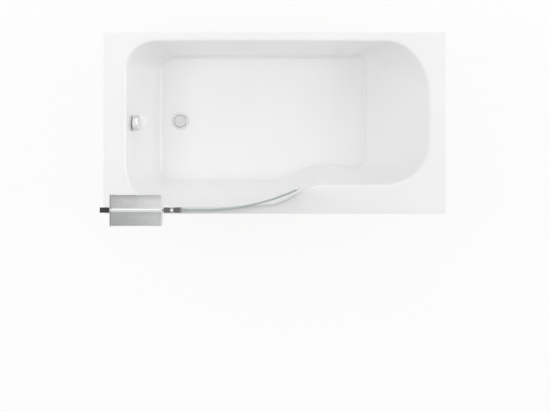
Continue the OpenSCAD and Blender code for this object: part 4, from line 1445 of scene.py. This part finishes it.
class SHOWER_OT_rack(Operator):
    """Two rack plates, cross rod, three round-cornered trays and their screws"""

    bl_idname = "shower.rack"
    bl_label = "Storage rack"

    def execute(self, context):
        look = settings(context, "shower_rack")
        # the left plate is the right plate's satin metal made darker: painted shade
        soften("rack_plate_left", finish_of("dark_plate", brushed, look.left, UPRIGHT, 0.38), 0.0004)
        soften("rack_plate_right", finish_of("grey_plate", brushed, look.right, UPRIGHT, 0.38), 0.0004)
        soften("rack_rod", finish_of("light_rod", brushed, look.rod, ACROSS, 0.30), 0.0005)
        white = finish_of("white_tray", moulded, look.tray, 0.24)
        for node in TRAYS:
            self.tray(node, look, white)
        self.screws(zinc_finish(context))
        return {"FINISHED"}

    @staticmethod
    def screws(zinc):
        """A screw through each plate into both ends of the trays and the rod."""
        shape = Shape()
        ends = ((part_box("rack_plate_left")[0].x, -1), (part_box("rack_plate_right")[1].x, 1))
        for node in (*TRAYS, "rack_rod"):
            middle = middle_of(node)
            for x, way in ends:
                pan_head(shape, frame_at(Vector((x, middle.y, middle.z)), (way, 0, 0)), RACK_SCREW)
        shape.make("rack_screws_cross_head", "bath", [zinc], ["rack_screws"], "zinc_steel")

    @staticmethod
    def tray(node, look, white):
        """A tray with round corners and broken edges, hollowed down to its floor."""
        low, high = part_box(node)
        outer, wall = look.tray_round, look.tray_wall
        inner = outer - wall + 0.001

        def ring(inset, radius, z):
            outline = rounded(low.x + inset, high.x - inset, low.y + inset, high.y - inset, radius)
            return [Vector((x, y, z)) for x, y in outline]

        rings = [
            ring(0.0025, outer - 0.002, low.z), ring(0.0012, outer - 0.001, low.z + 0.0004),
            ring(0.0004, outer - 0.0003, low.z + 0.0013), ring(0, outer, low.z + 0.003),
            ring(0, outer, high.z - 0.0008), ring(0.0003, outer - 0.0002, high.z - 0.0002),
            ring(0.0009, outer - 0.0006, high.z), ring(wall - 0.0009, inner + 0.0006, high.z),
            ring(wall - 0.0003, inner + 0.0002, high.z - 0.0002), ring(wall, inner, high.z - 0.0008),
            ring(wall, inner, low.z + wall + 0.003),
            ring(wall + 0.0007, inner - 0.0004, low.z + wall + 0.0012),
            ring(wall + 0.003, inner - 0.0024, low.z + wall),
        ]
        Shape().loft(rings).make(node + "_round", "bath", [white], [node], "white_tray", 35)


# ---- studio ----

# the picture's size in pixels, and where it has the middle of the bath
PICTURE = (550, 412)
BATH_IN_PICTURE = (274.75, 123.0)
SENSOR = 36.0
FLOOR_R = 14
FLOOR_SIDES = 96
FLOOR_GLOW = 0.86
LIT_FLOOR = ((0.93, 0.93, 0.93), (0.95, 0.95, 0.95))

# each lamp's place from the middle of the rim, and its size
LAMPS = {"back": ((-0.3, 5.4, 4.8), 4.2), "left": ((-3.0, 0.3, 4.4), 2.4), "right": ((6.4, 0.4, 4.5), 3.6)}


class SHOWER_OT_studio(Operator):
    """Pale floor, even sky, three large lamps and the camera above the bath"""

    bl_idname = "shower.studio"
    bl_label = "Studio"

    def execute(self, context):
        look = settings(context, "shower_studio")
        self.floor()
        self.sky(context.scene, look)
        for name in LAMPS:
            self.lamp(name, getattr(look, name))
        self.camera(context.scene, look)
        context.scene.view_settings.view_transform = "Standard"
        return {"FINISHED"}

    @staticmethod
    def seen(paint):
        """1 for what the camera, a mirror or clear glass sees, and 0 for what lights the object."""
        names = ("Is Camera Ray", "Is Glossy Ray", "Is Transmission Ray")
        camera, mirror, glass = (paint.node("ShaderNodeLightPath", output=name) for name in names)
        return camera.largest(mirror).largest(glass)

    def floor(self):
        paint = Paint("pale_floor")
        lit = paint.principled(Base_Color=paint.blend(paint.noise(1.2, 2.0), *LIT_FLOOR), Roughness=0.7)
        bright = paint.node("ShaderNodeEmission", None, {"Color": (1, 1, 1, 1), "Strength": 1.0})
        share = self.seen(paint) * FLOOR_GLOW
        surface = paint.node("ShaderNodeMixShader", None, {0: share, 1: lit, 2: bright})
        mesh = bpy.data.meshes.new("pale_floor")
        rim = turned(Matrix.Identity(4), [(FLOOR_R, 0)], FLOOR_SIDES)[0]
        mesh.from_pydata(rim, [], [tuple(range(FLOOR_SIDES))])
        mesh.materials.append(paint.finish(surface))
        ground = bpy.data.objects.new("pale_floor", mesh)
        bpy.context.scene.collection.objects.link(ground)

    def sky(self, scene, look):
        paint = Paint("studio_sky", sky=True)
        soft = paint.node("ShaderNodeBackground", None, {"Color": (1, 1, 1, 1), "Strength": look.sky})
        white = paint.node("ShaderNodeBackground", None, {"Color": (1, 1, 1, 1), "Strength": 1.0})
        both = paint.node("ShaderNodeMixShader", None, {0: self.seen(paint), 1: soft, 2: white})
        scene.world = paint.finish(both)

    @staticmethod
    def lamp(name, watts):
        """A square lamp turned to the bath; the left one stays out of its gloss."""
        place, size = LAMPS[name]
        data = bpy.data.lights.new(name + "_lamp", "AREA")
        data.shape = "SQUARE"
        data.size = size
        data.energy = watts
        lamp = bpy.data.objects.new(name + "_lamp", data)
        lamp.location = at(LENGTH / 2, WIDTH / 2, RIM) + Vector(place)
        lamp.rotation_mode = "QUATERNION"
        lamp.rotation_quaternion = (-Vector(place)).to_track_quat("-Z", "Y")
        lamp.visible_camera = False
        lamp.visible_glossy = name != "left"
        bpy.context.scene.collection.objects.link(lamp)

    @staticmethod
    def camera(scene, look):
        """Straight above, with the bath where the picture has it."""
        data = bpy.data.cameras.new("plan_camera")
        data.lens = look.lens
        data.sensor_width = SENSOR
        distance = PICTURE[0] * look.pixel * look.lens / SENSOR
        right = (PICTURE[0] / 2 - BATH_IN_PICTURE[0]) * look.pixel
        down = (PICTURE[1] / 2 - BATH_IN_PICTURE[1]) * look.pixel
        camera = bpy.data.objects.new("plan_camera", data)
        camera.location = at(LENGTH / 2 + right, WIDTH / 2 - down, RIM + distance)
        data.clip_start = 1.0
        data.clip_end = distance + 10
        scene.collection.objects.link(camera)
        scene.camera = camera


# ---- panel, registration and run ----

OPERATORS = [
    SHOWER_OT_studio,
    SHOWER_OT_control_cable,
    SHOWER_OT_shell,
    SHOWER_OT_leg_frame,
    SHOWER_OT_feet,
    SHOWER_OT_waste,
    SHOWER_OT_overflow,
    SHOWER_OT_wall_panel,
    SHOWER_OT_hinges,
    SHOWER_OT_swing_panel,
    SHOWER_OT_rack,
]


class SHOWER_PT_panel(Panel):
    """Lists the settings and the buttons that build each piece"""

    bl_idname = "SHOWER_PT_panel"
    bl_label = "Shower bath"
    bl_space_type = "VIEW_3D"
    bl_region_type = "UI"
    bl_category = "Shower Bath"

    def draw(self, context):
        for group, kind in GROUPS.items():
            column = self.layout.box().column(align=True)
            column.label(text=kind.__doc__)
            for name in kind.__annotations__:
                column.prop(getattr(context.scene, group), name)
        column = self.layout.column(align=True)
        for operator in OPERATORS:
            column.operator(operator.bl_idname)


def register():
    for kind in (*GROUPS.values(), *OPERATORS, SHOWER_PT_panel):
        bpy.utils.register_class(kind)
    for group, kind in GROUPS.items():
        setattr(bpy.types.Scene, group, PointerProperty(type=kind))


def unregister():
    for group in GROUPS:
        delattr(bpy.types.Scene, group)
    for kind in (SHOWER_PT_panel, *reversed(OPERATORS), *GROUPS.values()):
        bpy.utils.unregister_class(kind)


def main():
    """Builds every piece."""
    register()
    for operator in OPERATORS:
        getattr(bpy.ops.shower, operator.bl_idname.split(".")[1])()


if __name__ == "__main__":
    main()
